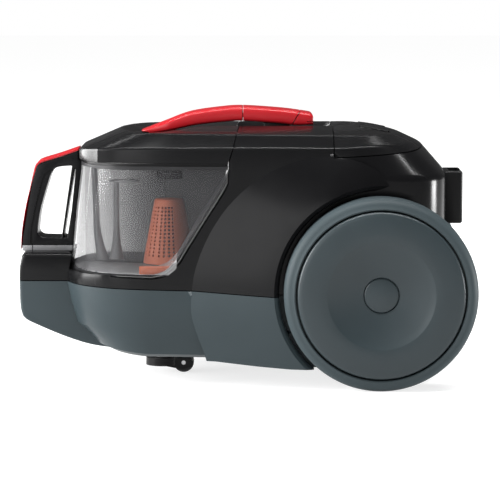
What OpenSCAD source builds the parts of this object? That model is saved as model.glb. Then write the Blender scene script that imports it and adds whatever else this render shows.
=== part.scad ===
// Canister vacuum cleaner, bagless, with a lift-out dust bin.
// X runs from the nose (-) to the rear (+), Y across the machine, Z up from the floor.

/* [Overall] */
// Half width of the body at the bin
body_hw = 102; // [98:1:106]
// Height of the middle of the top deck above the floor
deck_z = 246; // [244:0.5:248]
// Wall thickness of the housings
wall = 2.5; // [2:0.1:3]
// Width of the joint line between two covers
gap = 0.8; // [0.6:0.1:1.2]

/* [Wheels] */
// Radius of the rear wheels
wheel_r = 91.3; // [90:0.1:92]
// Distance of the rear axle behind the middle of the machine
axle_x = 128; // [126:0.5:130]
// Radius of the rear axle stubs
axle_r = 5; // [4:0.5:5]
// Distance of a wheel's inner face from the middle plane
wheel_in = 103.5; // [103:0.1:105]
// Distance of a wheel's outer face from the middle plane
wheel_out = 140; // [138:0.5:142]
// Radius of the caster roller
roller_r = 10; // [9.5:0.1:10]
// Distance of the caster's swivel axis ahead of the middle of the machine
caster_x = -80; // [-82:0.5:-78]

/* [Hose inlet] */
// Inner radius of the hose socket
socket_r = 18; // [16:0.5:18]
// Height of the hose socket's axis
socket_z = 82; // [82:0.5:83]

/* [Motor and reel] */
// Offset of the motor axis from the middle plane
motor_y = 38; // [37:0.5:39]
// Height of the motor axis
motor_z = 100; // [98:0.5:102]
// Radius of the cord reel's flanges
reel_r = 62; // [58:1:62]

/* [Hidden] */
$fn = 48;

axle_z = wheel_r;
well_r = wheel_r + 4.4;         // radius of the wheel housings
well_in = 100;                  // where a wheel housing starts, from the middle plane
thin = 0.02;                    // thickness of a loft's sections
crease_z = 226;                 // upper edge of the side walls
shoulder_z = 238.5;             // edge between the shoulder and the deck
shoulder_hw = 85;
fender_hw = 119;                // half width over the fenders
arch_r = wheel_r + 15;
nose_x = -217;                  // front face of the nose
nose_hw = 46;
nose_top = 121.5;
tub_x = -176;                   // front of the tub that the bin stands in
lid_x = -160;                   // front of the bin lid
rear_x = 194;
front_mid = -88;                // middle of the rounded front
rear_mid = 70;                  // middle of the rounded rear
reel_x = 110;
reel_z = 106;
split_x = -2;                   // where the top handle is divided
roller_x = caster_x + 20;
bin_top = 207.3;
lid_bottom = 210.3;
cone_x = -74;                   // axis of the perforated cone
cone_foot = 107.4;              // height where the cone starts
cone_h = 63.2;
cone_r1 = 22;                   // radii of the cone at its foot and at its top
cone_r2 = 14.5;
cyclone_x = -112;               // axis of the cyclone's inner tube
riser_x = -141;                 // axis of the inlet riser in the bin
riser_r = 13;
outlet_x = -83;                 // axis of the outlet port under the cone
outlet_r = 11;
brake_x = 100;
brake_z = 196;
button_x = 125;
screw_spots = [[-120, -62], [-120, 62], [-22, -84], [-22, 84]];
button_y = 34;
door_x = 190.5;
door_hw = 52;

// Points of a rounded half outline: a superellipse of half axes a and b.
function arc_points(cx, a, b, n, from, to, step) = [for (t = [from:step:to])
    [cx + a * sign(cos(t)) * pow(abs(cos(t)), 2 / n), b * sign(sin(t)) * pow(abs(sin(t)), 2 / n)]];

// Plan outline of the body: rounded in front at xf and behind at xr, of half width hw.
function plan(xf, xr, hw) = concat(
    arc_points(front_mid, front_mid - xf, hw, 2.5, 90, 270, 12),
    arc_points(rear_mid, xr - rear_mid, hw, 5, -90, 90, 12));

// Plan outline of the bin: rounded in front at xf, with small corners behind at xr.
function bin_plan(xf, xr, hw) = concat(
    arc_points(front_mid - 8, front_mid - 8 - xf, hw, 2.5, 90, 270, 12),
    [[xr - 9, -hw], [xr - 2.6, -hw + 2.6], [xr, -hw + 9], [xr, hw - 9], [xr - 2.6, hw - 2.6],
    [xr - 9, hw]]);

module layer(z, points) translate([0, 0, z]) linear_extrude(thin) polygon(points);
module layer_block(z0, z1, points) translate([0, 0, z0]) linear_extrude(z1 - z0) polygon(points);
// A side outline (X, Z) drawn out across the machine between y0 and y1.
module side(points, y0 = -150, y1 = 150)
    translate([0, y1, 0]) rotate([90, 0, 0]) linear_extrude(y1 - y0) polygon(points);
module side_inset(points, d, y0 = -150, y1 = 150)
    translate([0, y1, 0]) rotate([90, 0, 0]) linear_extrude(y1 - y0) offset(delta = -d) polygon(points);
module box(x0, x1, y0, y1, z0, z1) translate([x0, y0, z0]) cube([x1 - x0, y1 - y0, z1 - z0]);
module rod_x(x0, x1, r, y, z, fn = 48)
    translate([x0, y, z]) rotate([0, 90, 0]) cylinder(h = x1 - x0, r = r, $fn = fn);
module rod_y(y0, y1, r, x, z, fn = 48)
    translate([x, y1, z]) rotate([90, 0, 0]) cylinder(h = y1 - y0, r = r, $fn = fn);
module rod_z(z0, z1, r, x, y, fn = 48) translate([x, y, z0]) cylinder(h = z1 - z0, r = r, $fn = fn);
module both_sides() {
    children();
    mirror([0, 1, 0]) children();
}

// ---- body surfaces -------------------------------------------------------

seam = [[-230, 94.5], [-176, 94.5], [-46, 91.5], [40, 87.5], [230, 87.5]];
fender_line = [[-43, 92], [-37, 119.5], [-30, 145], [-16, 173.5], [0, 192.4], [19, 206.6],
    [43, 216], [70, 221], [100, 222], [150, 214], [180, 190], [189, 150], [189, 80], [-41, 80]];
lower_fender_line = [[-46, 100], [-46, 92], [-44, 74], [-39, 54.5], [-32, 33], [-26, 15], [180, 15],
    [189, 60], [189, 100]];
belly = [[nose_x, 130], [nose_x, 66], [-213, 59], [-193, 48.5], [-173, 40.3], [-150, 33], [-119, 28.4],
    [-95, 26], [-47, 25], [14, 21], [43, 19], [175, 19], [188, 26], [rear_x, 40], [rear_x, 130]];

function arch(r, from, to) = [for (t = [from:8:to]) [axle_x + r * cos(t), axle_z + r * sin(t)]];

module fender(line, arch_from, arch_to, d) both_sides() hull() {
    side_inset(line, d, well_in - 2 - thin, well_in - 2);
    side(concat([[axle_x, axle_z]], arch(arch_r - d, arch_from, arch_to)), fender_hw - d - thin,
        fender_hw - d);
}
module upper_body(d) {
    hull() {
        layer(80, plan(tub_x + 3 + d, rear_x - d, body_hw - d));
        layer(110, plan(tub_x + 3 + d, rear_x - d, body_hw - d));
    }
    hull() {
        layer(110, plan(tub_x + 3 + d, rear_x - d, body_hw - d));
        layer(199, plan(lid_x - 0.4 + d, rear_x - d, body_hw - d));
        layer(220.6 - d / 2, plan(lid_x + d, 177 - d, body_hw - d));
        layer(crease_z - d / 2, plan(lid_x + 11 + d, 172 - d, body_hw - d));
    }
    hull() {
        layer(crease_z - d / 2 - thin, plan(lid_x + 11 + d, 172 - d, body_hw - d));
        layer(shoulder_z - d, plan(-126 + d, 146 - d, shoulder_hw - d));
        layer(deck_z - d, plan(-100 + d, 84 - d, 42 - d));
    }
    fender(fender_line, 80, 184, d);
}
module lower_body(d) {
    intersection() {
        union() {
            hull() {
                layer(100, plan(tub_x + d, rear_x - d, body_hw - d));
                layer(60, plan(-170 + d, rear_x - d, body_hw - 1 - d));
                layer(34, plan(-152 + d, 190 - d, 93 - d));
                layer(19 + d, plan(-110 + d, 182 - d, 80 - d));
            }
            hull() {
                layer(100, [[nose_x + d, -nose_hw + 8], [nose_x + 8, -nose_hw + d], [-120, -nose_hw + d],
                    [-120, nose_hw - d], [nose_x + 8, nose_hw - d], [nose_x + d, nose_hw - 8]]);
                layer(20, [[nose_x + d, -nose_hw + 12], [nose_x + 8, -nose_hw + 4 + d],
                    [-120, -nose_hw + d],
                    [-120, nose_hw - d], [nose_x + 8, nose_hw - 4 - d], [nose_x + d, nose_hw - 12]]);
            }
            fender(lower_fender_line, 168, 248, d);
        }
        side_inset(belly, d);
    }
}
module wells(d) both_sides() rod_y(well_in - d, 160, well_r + d, axle_x, axle_z, 72);

// ---- bin bay and top channel ----------------------------------------------

bay_line = [[-230, 106], [-157, 105.7], [-137, 105], [-108, 103.6], [-88, 102.6], [-72, 106.5], [-62, 115],
    [-53, 131], [-36, 158], [-25, 175], [-15, 190], [-14, 207], [-14, 300], [-230, 300]];
bin_line = [[-172, 106.8], [-157, 106.6], [-137, 105.9], [-108, 104.5], [-89, 103.6], [-73, 107.5],
    [-63, 116], [-54, 131.6], [-37, 158.6], [-26, 175.6], [-16, 191], [-15.2, bin_top], [-172, bin_top]];
lid_line = [[-200, lid_bottom], [-15.6, lid_bottom], [-11, 228], [-8.4, 238.5], [-4.6, 246.5], [-1.6, 264],
    [-200, 264]];
rear_line = [[85.2, 264], [85.2, 219.4], [127, 221], [163, 223], [176, 226], [230, 240], [230, 264]];

// Rear edge of the bin at four heights: height and X.
bin_levels = [[104, -84], [116, -62], [191, -15.6], [bin_top + 5, -15.2]];

// The space that the bin takes, grown by d and carried up by rise.
module bin_space(d, rise = 0) hull() for (l = bin_levels)
    layer(l[0] + (l[0] < 110 ? -d : (l[0] > 200 ? d + rise : 0)),
        bin_plan(-168.5 + 0.1 * (l[0] - 104) - d, l[1] + d, body_hw - 2.5 + d));
module bay() {
    intersection() {
        bin_space(1.2, 60);
        side(bay_line);
    }
    difference() {
        side(bay_line);
        box(-300, 300, -96, 96, 0, 400);
    }
    box(-230, -100, -150, 150, 105.8, 320);
}
// Hollow along the top under the handle, and the thumb recess behind it; grown by d.
module top_channel(d) hull() {
    for (s = [-1, 1])
        side([[-106 - d, 252], [-100 - d, 239], [-90, 231 - d], [-70, 227 - d], [60, 227 - d],
            [80, 230 - d],
            [99 + d, 238], [105 + d, 252]], s * 16 - 8 - d, s * 16 + 8 + d);
    side([[-106 - d, 262], [-104 - d, 250], [104 + d, 250], [106 + d, 262]], -34 - d, 34 + d);
}

// ---- housings --------------------------------------------------------------

module zone_above_seam() side(concat(seam, [[230, 330], [-230, 330]]));
module zone_below_seam(d) translate([0, 0, -d]) side(concat(seam, [[230, -20], [-230, -20]]));

module upper_housing() color([0.09, 0.09, 0.1]) difference() {
    union() {
        intersection() {
            upper_body(0);
            zone_above_seam();
        }
        for (p = screw_spots) rod_z(70.4, 96, 5, p[0], p[1], 20);
    }
    for (p = screw_spots) rod_z(60, 90, 1.95, p[0], p[1], 16);
    difference() {
        upper_body(wall);
        for (p = screw_spots) rod_z(60, 240, 5, p[0], p[1], 20);
        wells(wall);
        bin_space(wall + 1.2, 60);
        translate([0, 0, -wall])
            side([[-230, 106], [-157, 105.7], [-88, 102.6], [-60, 104], [-60, 111], [-230, 111]]);
        top_channel(wall);
        box(rear_x - 7, 220, -door_hw - 6, door_hw + 6, 40, 140);
    }
    wells(0);
    bay();
    translate([gap / 2, 0, -gap / 2]) side(lid_line);
    translate([-gap / 2, 0, -gap / 2]) side(rear_line);
    top_channel(0);
    rod_z(90, 120, riser_r + 4.6, riser_x, 0, 32);
    rod_z(90, 112, outlet_r + 4.6, outlet_x, 0, 32);
    both_sides() box(axle_x - 24.3, axle_x + 24.3, well_in - wall - 0.5, 101, 60, 112.3);
    box(door_x - 1.4, 220, -door_hw - 0.7, door_hw + 0.7, 48, 136.7);
    box(180, 220, 6 - door_hw, door_hw - 6, 53, 131);
    rod_x(180, 220, 7.2, -76, 120, 24);
    box(-188, -110, -22.8, 22.8, 60, 101.2);
    for (s = [-1, 1]) rod_z(220, 230, 2.1, 34, 10 * s, 16);
}
module lower_chassis() color([0.27, 0.31, 0.33]) difference() {
    union() {
        difference() {
            intersection() {
                lower_body(0);
                zone_below_seam(gap / 2);
            }
            difference() {
                lower_body(wall);
                wells(wall);
                box(rear_x - 7, 220, -door_hw - 6, door_hw + 6, 40, 140);
                for (p = screw_spots) rod_z(10, 70, 5.5, p[0], p[1], 20);
                difference() {
                    box(20, 28, motor_y - 42, motor_y + 42, 10, 76);
                    rod_x(10, 40, 57.1, motor_y, motor_z, 72);
                }
                difference() {
                    box(124.2, 129.8, motor_y - 24, motor_y + 24, 10, 94);
                    rod_x(110, 140, 20.1, motor_y, motor_z);
                }
                difference() {
                    box(reel_x - 11, reel_x + 11, -21.6, -17.2, 10, reel_z + 10);
                    rod_y(-30, -10, 6.05, reel_x, reel_z);
                }
            }
        }
        both_sides() box(axle_x - 23.5, axle_x + 23.5, well_in - wall, well_in, 50, 111.5);
    }
    wells(0);
    both_sides() rod_y(90, 120, axle_r + 0.5, axle_x, axle_z, 32);
    rod_z(10, 40, 9.4, caster_x, 0, 32);
    rod_x(nose_x - 5, -180, 22.2, 0, socket_z, 40);
    box(door_x - 1.4, 220, -door_hw - 0.7, door_hw + 0.7, 44.3, 100);
    box(180, 220, 6 - door_hw, door_hw - 6, 53, 100);
    for (p = screw_spots) {
        rod_z(10, 71, 2, p[0], p[1], 16);
        rod_z(10, 36, 3.6, p[0], p[1], 16);
    }
}
nose_line = [[nose_x, 90], [nose_x, 112], [-215, 118.5], [-210.5, nose_top], [-161.5, nose_top - 0.7],
    [-161.5, 90]];
module nose_body(d) intersection() {
    hull() {
        for (z = [90, 130]) layer(z, [[nose_x + d, -nose_hw + 8], [nose_x + 8, -nose_hw + d],
            [-140, -nose_hw + d],
            [-140, nose_hw - d], [nose_x + 8, nose_hw - d], [nose_x + d, nose_hw - 8]]);
    }
    side_inset(nose_line, d);
}
module nose_cover() color([0.07, 0.07, 0.08]) difference() {
    intersection() {
        nose_body(0);
        translate([0, 0, gap / 2]) zone_above_seam();
    }
    intersection() {
        nose_body(wall);
        box(-230, -176, -80, 80, 60, 140);
    }
    translate([0, 0, -0.2]) hull() {
        layer(80, plan(tub_x + 2.2, rear_x, body_hw));
        layer(106.9, plan(tub_x + 2.2, rear_x, body_hw));
    }
    bin_space(0.8);
    box(-188, -110, -22.8, 22.8, 60, 101.2);
    rod_x(nose_x - 5, -180, 22.2, 0, socket_z, 40);
    box(-300, -100, -80, 80, 60, 94.5 + gap / 2);
    box(-178, -150, -21, 21, 116, 140);
}
module rear_cover() color([0.09, 0.09, 0.1]) union() {
    rear_shell();
    board_posts();
}
module rear_shell() difference() {
    intersection() {
        upper_body(0);
        translate([gap / 2, 0, gap / 2]) side(rear_line);
    }
    difference() {
        intersection() {
            upper_body(wall);
            side([[88, 300], [88, 200], [230, 200], [230, 300]]);
        }
        top_channel(wall);
    }
    top_channel(0);
    both_sides() hull() for (x = [button_x - 7, button_x + 7]) rod_z(200, 260, 7.4, x, button_y, 32);
}
module board_posts() intersection() {
    for (x = [95, 147], y = [-41, 57]) rod_z(207.7, 245, 3, x, y, 24);
    upper_body(0);
}

// ---- air path ----------------------------------------------------------------

module hose_socket() color([0.05, 0.05, 0.06]) difference() {
    union() {
        rod_x(nose_x - 0.5, nose_x + 3.2, 22, 0, socket_z);
        rod_x(nose_x, -187, 20.6, 0, socket_z);
    }
    rod_x(nose_x - 1, -186, socket_r, 0, socket_z);
}
module inlet_duct() color([0.2, 0.2, 0.2]) {
    difference() {
        box(-186.6, riser_x + 21, -22, 22, 60.5, 100.4);
        box(-184.4, riser_x + 19, -20, 20, 62.5, 98.4);
        rod_x(-190, -183, 17.8, 0, socket_z - 0.5);
        rod_z(90, 110, riser_r, riser_x, 0);
    }
    difference() {
        rod_z(100.4, 104.4, riser_r + 3, riser_x, 0);
        rod_z(99, 106, riser_r, riser_x, 0);
    }
}
module outlet_duct() color([0.2, 0.2, 0.2]) {
    difference() {
        box(-102, -6, -26, 62, 50, 97);
        box(-99.8, -5, -24, 60, 52, 95);
        rod_z(90, 110, outlet_r, outlet_x, 0);
    }
    difference() {
        rod_z(97, 102.4, outlet_r + 3, outlet_x, 0);
        rod_z(96, 104, outlet_r, outlet_x, 0);
    }
}
module gasket(x, z, r_in) difference() {
    rod_z(z, z + 0.9, r_in + 2.6, x, 0);
    rod_z(z - 1, z + 2, r_in, x, 0);
}
module port_gaskets() color([0.1, 0.1, 0.1]) {
    gasket(riser_x, 104.45, riser_r);
    gasket(outlet_x, 102.45, outlet_r);
}
module filter_housing() color([0.16, 0.16, 0.17]) difference() {
    rod_x(-5.6, 11, 54, motor_y, motor_z, 72);
    rod_x(-3, 12, 51.5, motor_y, motor_z, 72);
    box(-10, 0, -18, 58, 56.5, 92);
}
module motor_prefilter() color([0.75, 0.75, 0.72]) rod_x(-2.6, 9.5, 51.2, motor_y, motor_z, 72);

// ---- motor -------------------------------------------------------------------

module motor_fan_case() color([0.72, 0.73, 0.75]) difference() {
    rod_x(14, 48, 52, motor_y, motor_z, 72);
    rod_x(15.5, 46.5, 50.5, motor_y, motor_z, 72);
    rod_x(12, 20, 20, motor_y, motor_z);
    rod_x(40, 50, 30, motor_y, motor_z);
}
module motor_can() color([0.35, 0.36, 0.37]) difference() {
    union() {
        difference() {
            union() {
                rod_x(48.1, 52, 46, motor_y, motor_z, 60);
                rod_x(52, 124, 41, motor_y, motor_z, 60);
            }
            rod_x(50.6, 121, 39, motor_y, motor_z, 60);
            rod_x(40, 52, 29.8, motor_y, motor_z);
        }
        box(51, 58, motor_y - 8, motor_y + 8, motor_z - 40, motor_z + 40);
        rod_x(51, 58, 14, motor_y, motor_z);
        rod_x(113.5, 121.5, 14, motor_y, motor_z);
    }
    rod_x(40, 60, 11.05, motor_y, motor_z);
    rod_x(112, 120.6, 11.05, motor_y, motor_z);
    for (a = [0:60:300]) translate([0, motor_y, motor_z]) rotate([a, 0, 0]) box(119, 126, -4, 4, 20, 34);
    rod_x(120, 126, 4.6, motor_y, motor_z);
}
module motor_stator() color([0.72, 0.43, 0.2]) difference() {
    rod_x(66, 98, 38.8, motor_y, motor_z, 60);
    rod_x(65, 99, 25, motor_y, motor_z, 60);
    for (s = [-1, 1]) box(65, 99, motor_y - 12, motor_y + 12, motor_z + s * 34 - 6, motor_z + s * 34 + 6);
}
module bearing(x) difference() {
    rod_x(x, x + 7, 11, motor_y, motor_z);
    rod_x(x - 1, x + 8, 4.05, motor_y, motor_z);
}
module motor_bearings() color([0.8, 0.8, 0.82]) {
    bearing(51);
    bearing(113.5);
}
module motor_mounts() color([0.08, 0.08, 0.08]) {
    difference() {
        rod_x(18, 30, 57, motor_y, motor_z, 72);
        rod_x(17, 31, 52.1, motor_y, motor_z, 72);
    }
    difference() {
        rod_x(116, 130, 20, motor_y, motor_z);
        rod_x(115, 124.05, 42, motor_y, motor_z);
    }
}
module carbon_brushes() color([0.7, 0.6, 0.3]) for (s = [-1, 1])
    box(102, 110, motor_y - 4, motor_y + 4, motor_z + s * 25 - 11, motor_z + s * 25 + 11);
module motor_shaft() color([0.8, 0.8, 0.82]) rod_x(16.5, 122.5, 4, motor_y, motor_z);
module motor_armature() color([0.6, 0.4, 0.25]) difference() {
    union() {
        rod_x(64, 98, 24, motor_y, motor_z);
        rod_x(100.5, 111, 13, motor_y, motor_z);
        rod_x(98, 100.5, 9, motor_y, motor_z);
    }
    rod_x(60, 120, 4, motor_y, motor_z);
}
module motor_impeller() color([0.75, 0.76, 0.78]) difference() {
    union() {
        rod_x(36, 38, 48, motor_y, motor_z, 60);
        rod_x(23, 36.2, 9, motor_y, motor_z);
        difference() {
            rod_x(20.5, 22, 48, motor_y, motor_z, 60);
            rod_x(19, 23, 22, motor_y, motor_z);
        }
        for (a = [0:40:320]) translate([0, motor_y, motor_z]) rotate([a, 0, 0])
            box(21.2, 36.8, -0.8, 0.8, 25, 45);
        for (a = [0:40:320]) translate([0, motor_y, motor_z]) rotate([a, 0, 0])
            box(26, 36.8, -0.8, 0.8, 7, 26);
    }
    rod_x(10, 60, 4, motor_y, motor_z);
}

// ---- exhaust ------------------------------------------------------------------

module hepa_filter() color([0.92, 0.92, 0.9]) difference() {
    box(177, 186.8, -door_hw + 3, door_hw - 3, 51, 133);
    for (z = [60:5:124]) box(184, 190, 8 - door_hw, door_hw - 8, z, z + 2.5);
}
module exhaust_door() color([0.1, 0.1, 0.11]) difference() {
    box(door_x, rear_x, -door_hw, door_hw, 49.5, 136);
    for (z = [62:9:122]) box(door_x - 1, rear_x + 1, 10 - door_hw, door_hw - 10, z, z + 4);
    rod_y(-70, 70, 1.55, rear_x - 1.75, 52);
}
module exhaust_hinge_pin() color([0.7, 0.7, 0.72]) rod_y(-door_hw, door_hw, 1.5, rear_x - 1.75, 52);

// ---- electrics -----------------------------------------------------------------

module control_board() color([0.1, 0.35, 0.18]) difference() {
    box(91, 151, -45, 61, 206, 207.6);
    rod_z(200, 210, 3.4, button_x, -button_y);
}
module power_switch() color([0.15, 0.15, 0.16]) box(115, 135, button_y - 8, button_y + 8, 207.7, 222);
module push_button(y, foot) {
    intersection() {
        union() {
            box(button_x - 7, button_x + 7, y - 6.8, y + 6.8, 230, 250);
            for (x = [button_x - 7, button_x + 7]) rod_z(230, 250, 6.8, x, y);
        }
        side([[100, 239.6], [100, 244.9], [150, 238.9], [150, 233.6]], y - 10, y + 10);
    }
    rod_z(foot, 238, 2.4, button_x, y);
    rod_z(235.5, 238, 6, button_x, y);
}
module coil_spring(y, z0, z1) difference() {
    rod_z(z0, z1, 5.4, button_x, y);
    rod_z(z0 - 1, z1 + 1, 4.4, button_x, y);
}
module power_button() color([0.13, 0.13, 0.14]) push_button(button_y, 226.3);
module power_spring() color([0.7, 0.7, 0.72]) coil_spring(button_y, 222.05, 235.4);
module rewind_button() color([0.13, 0.13, 0.14]) push_button(-button_y, 202.8);
module rewind_spring() color([0.7, 0.7, 0.72]) coil_spring(-button_y, 207.65, 235.4);

// ---- cord reel ------------------------------------------------------------------

module reel_drum() color([0.3, 0.3, 0.32]) difference() {
    union() {
        rod_y(-88, -86, reel_r, reel_x, reel_z, 72);
        rod_y(-34, -32, reel_r, reel_x, reel_z, 72);
        rod_y(-86.1, -33.9, 30, reel_x, reel_z);
    }
    rod_y(-84, -36, 27.5, reel_x, reel_z);
    rod_y(-90, -30, 6.05, reel_x, reel_z);
    for (a = [0:60:300]) translate([reel_x, 0, reel_z]) rotate([0, a, 0]) rod_y(-90, -30, 9, 48, 0, 32);
}
module reel_spindle() color([0.7, 0.7, 0.72]) union() {
    rod_y(-92, -17, 6, reel_x, reel_z);
    rod_y(-94.2, -92, 13, reel_x, reel_z);
}
module reel_spring_case() color([0.2, 0.2, 0.21]) difference() {
    rod_y(-30.5, -22, 34, reel_x, reel_z);
    rod_y(-31, -21, 6.1, reel_x, reel_z);
    rod_y(-30.6, -24, 31, reel_x, reel_z);
}
module reel_brake() color([0.16, 0.16, 0.17]) difference() {
    union() {
        side([[brake_x - 31, 166], [brake_x - 24, 161.5], [brake_x + 3, brake_z - 5], [button_x + 4, 196],
            [button_x + 4, 202.4], [button_x - 4, 202.4], [brake_x, brake_z + 5]], -43, -25);
        rod_y(-43, -25, 5, brake_x - 27.1, 163.2);
    }
    rod_y(-50, -20, 2.05, brake_x, brake_z);
}
module brake_pivot() color([0.7, 0.7, 0.72]) union() {
    rod_y(-46, -22, 2, brake_x, brake_z);
    rod_y(-48, -46, 5, brake_x, brake_z);
}
module cord_outlet() color([0.05, 0.05, 0.05]) difference() {
    rod_x(184, 191.2, 7, -76, 120);
    rod_x(180, 200, 4.2, -76, 120);
}

// ---- rear park bracket -------------------------------------------------------------

module park_bracket() color([0.05, 0.05, 0.06]) difference() {
    box(rear_x + 0.1, 211, -23, 23, 148, 199);
    box(rear_x + 4, 208, -17, 17, 151, 210);
    box(rear_x + 4, 215, -8, 8, 140, 210);
    for (s = [-1, 1]) translate([211, s * 23, 140]) rotate([0, 0, 45]) cube([4, 4, 140], center = true);
}

// ---- top handle ---------------------------------------------------------------------

front_grip_line = [[-98.7, 238.3], [-88, 242.4], [-77, 246.6], [-65, 251.2], [-53, 255.2], [-40, 258],
    [-24, 260],
    [split_x - 0.5, 261.2], [split_x - 0.5, 247.2], [-14, 246.6], [-30, 244.8], [-43, 242.6],
    [-60, 239.4], [-70, 236],
    [-74, 228.1], [-80, 229.1], [-89.8, 231.1], [-94, 234.4]];
rear_grip_line = [[split_x + 0.5, 261.3], [16, 260.6], [34, 258.9], [62.2, 255.4], [55.4, 243.1],
    [48, 243.8],
    [46, 227.3], [24, 227.3], [24, 245.5], [split_x + 0.5, 247.2]];
button_line = [[63.2, 255.3], [69, 254.8], [73, 252.6], [71.6, 247], [67, 242.8], [56.5, 242.6]];
module front_grip() color([0.75, 0.08, 0.1]) difference() {
    side(front_grip_line, -20, 20);
    box(-18, 0, -5.6, 5.6, 240, 257.2);
}
module rear_grip() color([0.75, 0.08, 0.1]) difference() {
    side(rear_grip_line, -20, 20);
    rod_x(-8, 45, 3, 0, 252);
    rod_x(36, 49, 4.8, 0, 252);
    box(46, 70, -6, 6, 244.9, 253.6);
    for (s = [-1, 1]) rod_z(220, 244, 1.6, 34, 10 * s, 24);
}
module release_button() color([0.75, 0.08, 0.1]) union() {
    side(button_line, -19.5, 19.5);
    box(52, 66, -4, 4, 248.6, 252.8);
}
module latch_rod() color([0.25, 0.25, 0.26]) union() {
    rod_x(-8, 49, 2.3, 0, 252);
    rod_x(-12, -8, 4, 0, 252);
    rod_x(48.5, 51, 3.4, 0, 249.9);
}
module release_spring() color([0.7, 0.7, 0.72]) difference() {
    rod_x(36.1, 48.4, 4.2, 0, 252);
    rod_x(36, 49, 2.6, 0, 252);
}
module grip_screws() for (s = [-1, 1]) {
    rod_z(224.1, 243.5, 1.5, 34, 10 * s);
    rod_z(221.5, 224.2, 3.4, 34, 10 * s);
}
module housing_screws() for (p = screw_spots) {
    rod_z(36.5, 84, 1.9, p[0], p[1]);
    rod_z(33.5, 36, 3.4, p[0], p[1]);
    rod_z(35.9, 36.6, 1.9, p[0], p[1]);
}

module screws() color([0.6, 0.6, 0.62]) {
    grip_screws();
    housing_screws();
}

// ---- rear wheels ----------------------------------------------------------------------

module axle() color([0.75, 0.75, 0.77]) union() {
    rod_y(94.3, 131.5, axle_r, axle_x, axle_z);
    rod_y(94.3, 97.3, 16, axle_x, axle_z);
    rod_y(129.2, 130.6, 8.5, axle_x, axle_z);
}
module turn() translate([axle_x, 0, axle_z]) rotate([-90, 0, 0]) rotate_extrude($fn = 96) children();
module tyre() color([0.31, 0.36, 0.38]) turn() polygon([[79.2, wheel_in], [wheel_r - 5, wheel_in],
    [wheel_r - 2.4, wheel_in + 1.5], [wheel_r - 0.8, wheel_in + 5], [wheel_r, wheel_in + 12],
    [wheel_r, 129],
    [wheel_r - 0.7, 132], [wheel_r - 2.2, 134.2], [wheel_r - 4.5, 135.8], [wheel_r - 7.5, 136.9],
    [79.2, 137.4]]);
module disc() color([0.27, 0.32, 0.34]) turn() polygon([[5.05, wheel_in + 0.5], [12, wheel_in + 0.5],
    [12, 129.4],
    [27, 131.7], [38, 133.8], [50, 136.8], [66, 136], [75.6, 135], [75.6, wheel_in + 3],
    [78.7, wheel_in + 3],
    [78.7, 136.6], [77.6, 137.8], [66, 139.2], [51, wheel_out], [49.5, 139.8], [38, 137], [27, 134.9],
    [16.6, 133.8], [16.6, 132], [11, 132],
    [11, 128.6], [5.05, 128.6]]);
module hub_cap() color([0.27, 0.32, 0.34]) turn() polygon([[0, 132.1], [16.2, 132.1], [16.2, 133.4],
    [15.4, 134.1],
    [0, 134.8]]);
module left_axle() mirror([0, 1, 0]) axle();
module right_axle() axle();
module left_tyre() mirror([0, 1, 0]) tyre();
module left_disc() mirror([0, 1, 0]) disc();
module left_hub_cap() mirror([0, 1, 0]) hub_cap();
module right_tyre() tyre();
module right_disc() disc();
module right_hub_cap() hub_cap();

// ---- front caster -----------------------------------------------------------------------

module caster_bush() color([0.2, 0.2, 0.21]) difference() {
    union() {
        rod_z(15, 38, 9, caster_x, 0);
        rod_z(28.8, 31.5, 14, caster_x, 0);
    }
    rod_z(10, 36, 4.05, caster_x, 0);
}
module caster_fork() color([0.12, 0.13, 0.14]) difference() {
    union() {
        rod_z(7, 14.4, 17, caster_x, 0);
        rod_z(14, 34, 4, caster_x, 0);
        for (s = [-1, 1]) side([[caster_x, 7], [caster_x, 14.4], [roller_x + 5, 14.4], [roller_x + 9.5, 11],
            [roller_x + 8, 6], [roller_x - 2, 3.4]], s * 10.9 - 1.6, s * 10.9 + 1.6);
    }
    rod_y(-9.2, 9.2, 11.4, roller_x, roller_r);
    rod_y(-20, 20, 2.02, roller_x, roller_r);
}
module caster_axle() color([0.75, 0.75, 0.77]) rod_y(-12.3, 12.3, 2, roller_x, roller_r);
module caster_roller() color([0.1, 0.1, 0.11]) translate([roller_x, 0, roller_r]) rotate([90, 0, 0])
    rotate_extrude($fn = 48) polygon([[2.06, -8.4], [8.6, -8.4], [roller_r, -7], [roller_r, 7],
        [8.6, 8.4], [2.06, 8.4]]);

// ---- dust bin ------------------------------------------------------------------------------

bin_inner_line = [[-172, 109], [-157, 108.8], [-137, 108.1], [-109, 106.7], [-91, 105.9], [-74.6, 109.6],
    [-65.2, 117.4], [-56.4, 132.6], [-39, 160], [-28, 176.8], [-18.3, 191.8], [-17.5, 230], [-172, 230]];
module dust_bin() color([0.5, 0.5, 0.52, 0.5]) difference() {
    intersection() {
        bin_space(0);
        side(bin_line);
    }
    intersection() {
        bin_space(-2.2, 12);
        side(bin_inner_line);
    }
    rod_z(90, 115, riser_r, riser_x, 0, 12);
    rod_z(90, 112, outlet_r, outlet_x, 0, 12);
}
bin_handle_line = [[-156.4, 207.2], [-156.4, 209.5], [-161.2, 209.5], [-161.2, 216.6], [-178, 211.4],
    [-198, 205.6],
    [-202.2, 198], [-209.6, 169], [-214.4, 142], [-214.6, 122.6], [-168.4, 122.6], [-168.4, 130],
    [-165.5, 160], [-160.5, 207.2]];
bin_handle_gap = [[-165.5, 203.6], [-182, 202.6], [-187, 198], [-190, 190], [-198, 161], [-201, 141],
    [-199.6, 133],
    [-196, 128.6], [-179, 128.6], [-176.2, 131]];
module bin_handle() color([0.12, 0.12, 0.13]) difference() {
    side(bin_handle_line, -20, 20);
    side(bin_handle_gap);
    bin_space(0.05);
}
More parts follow.
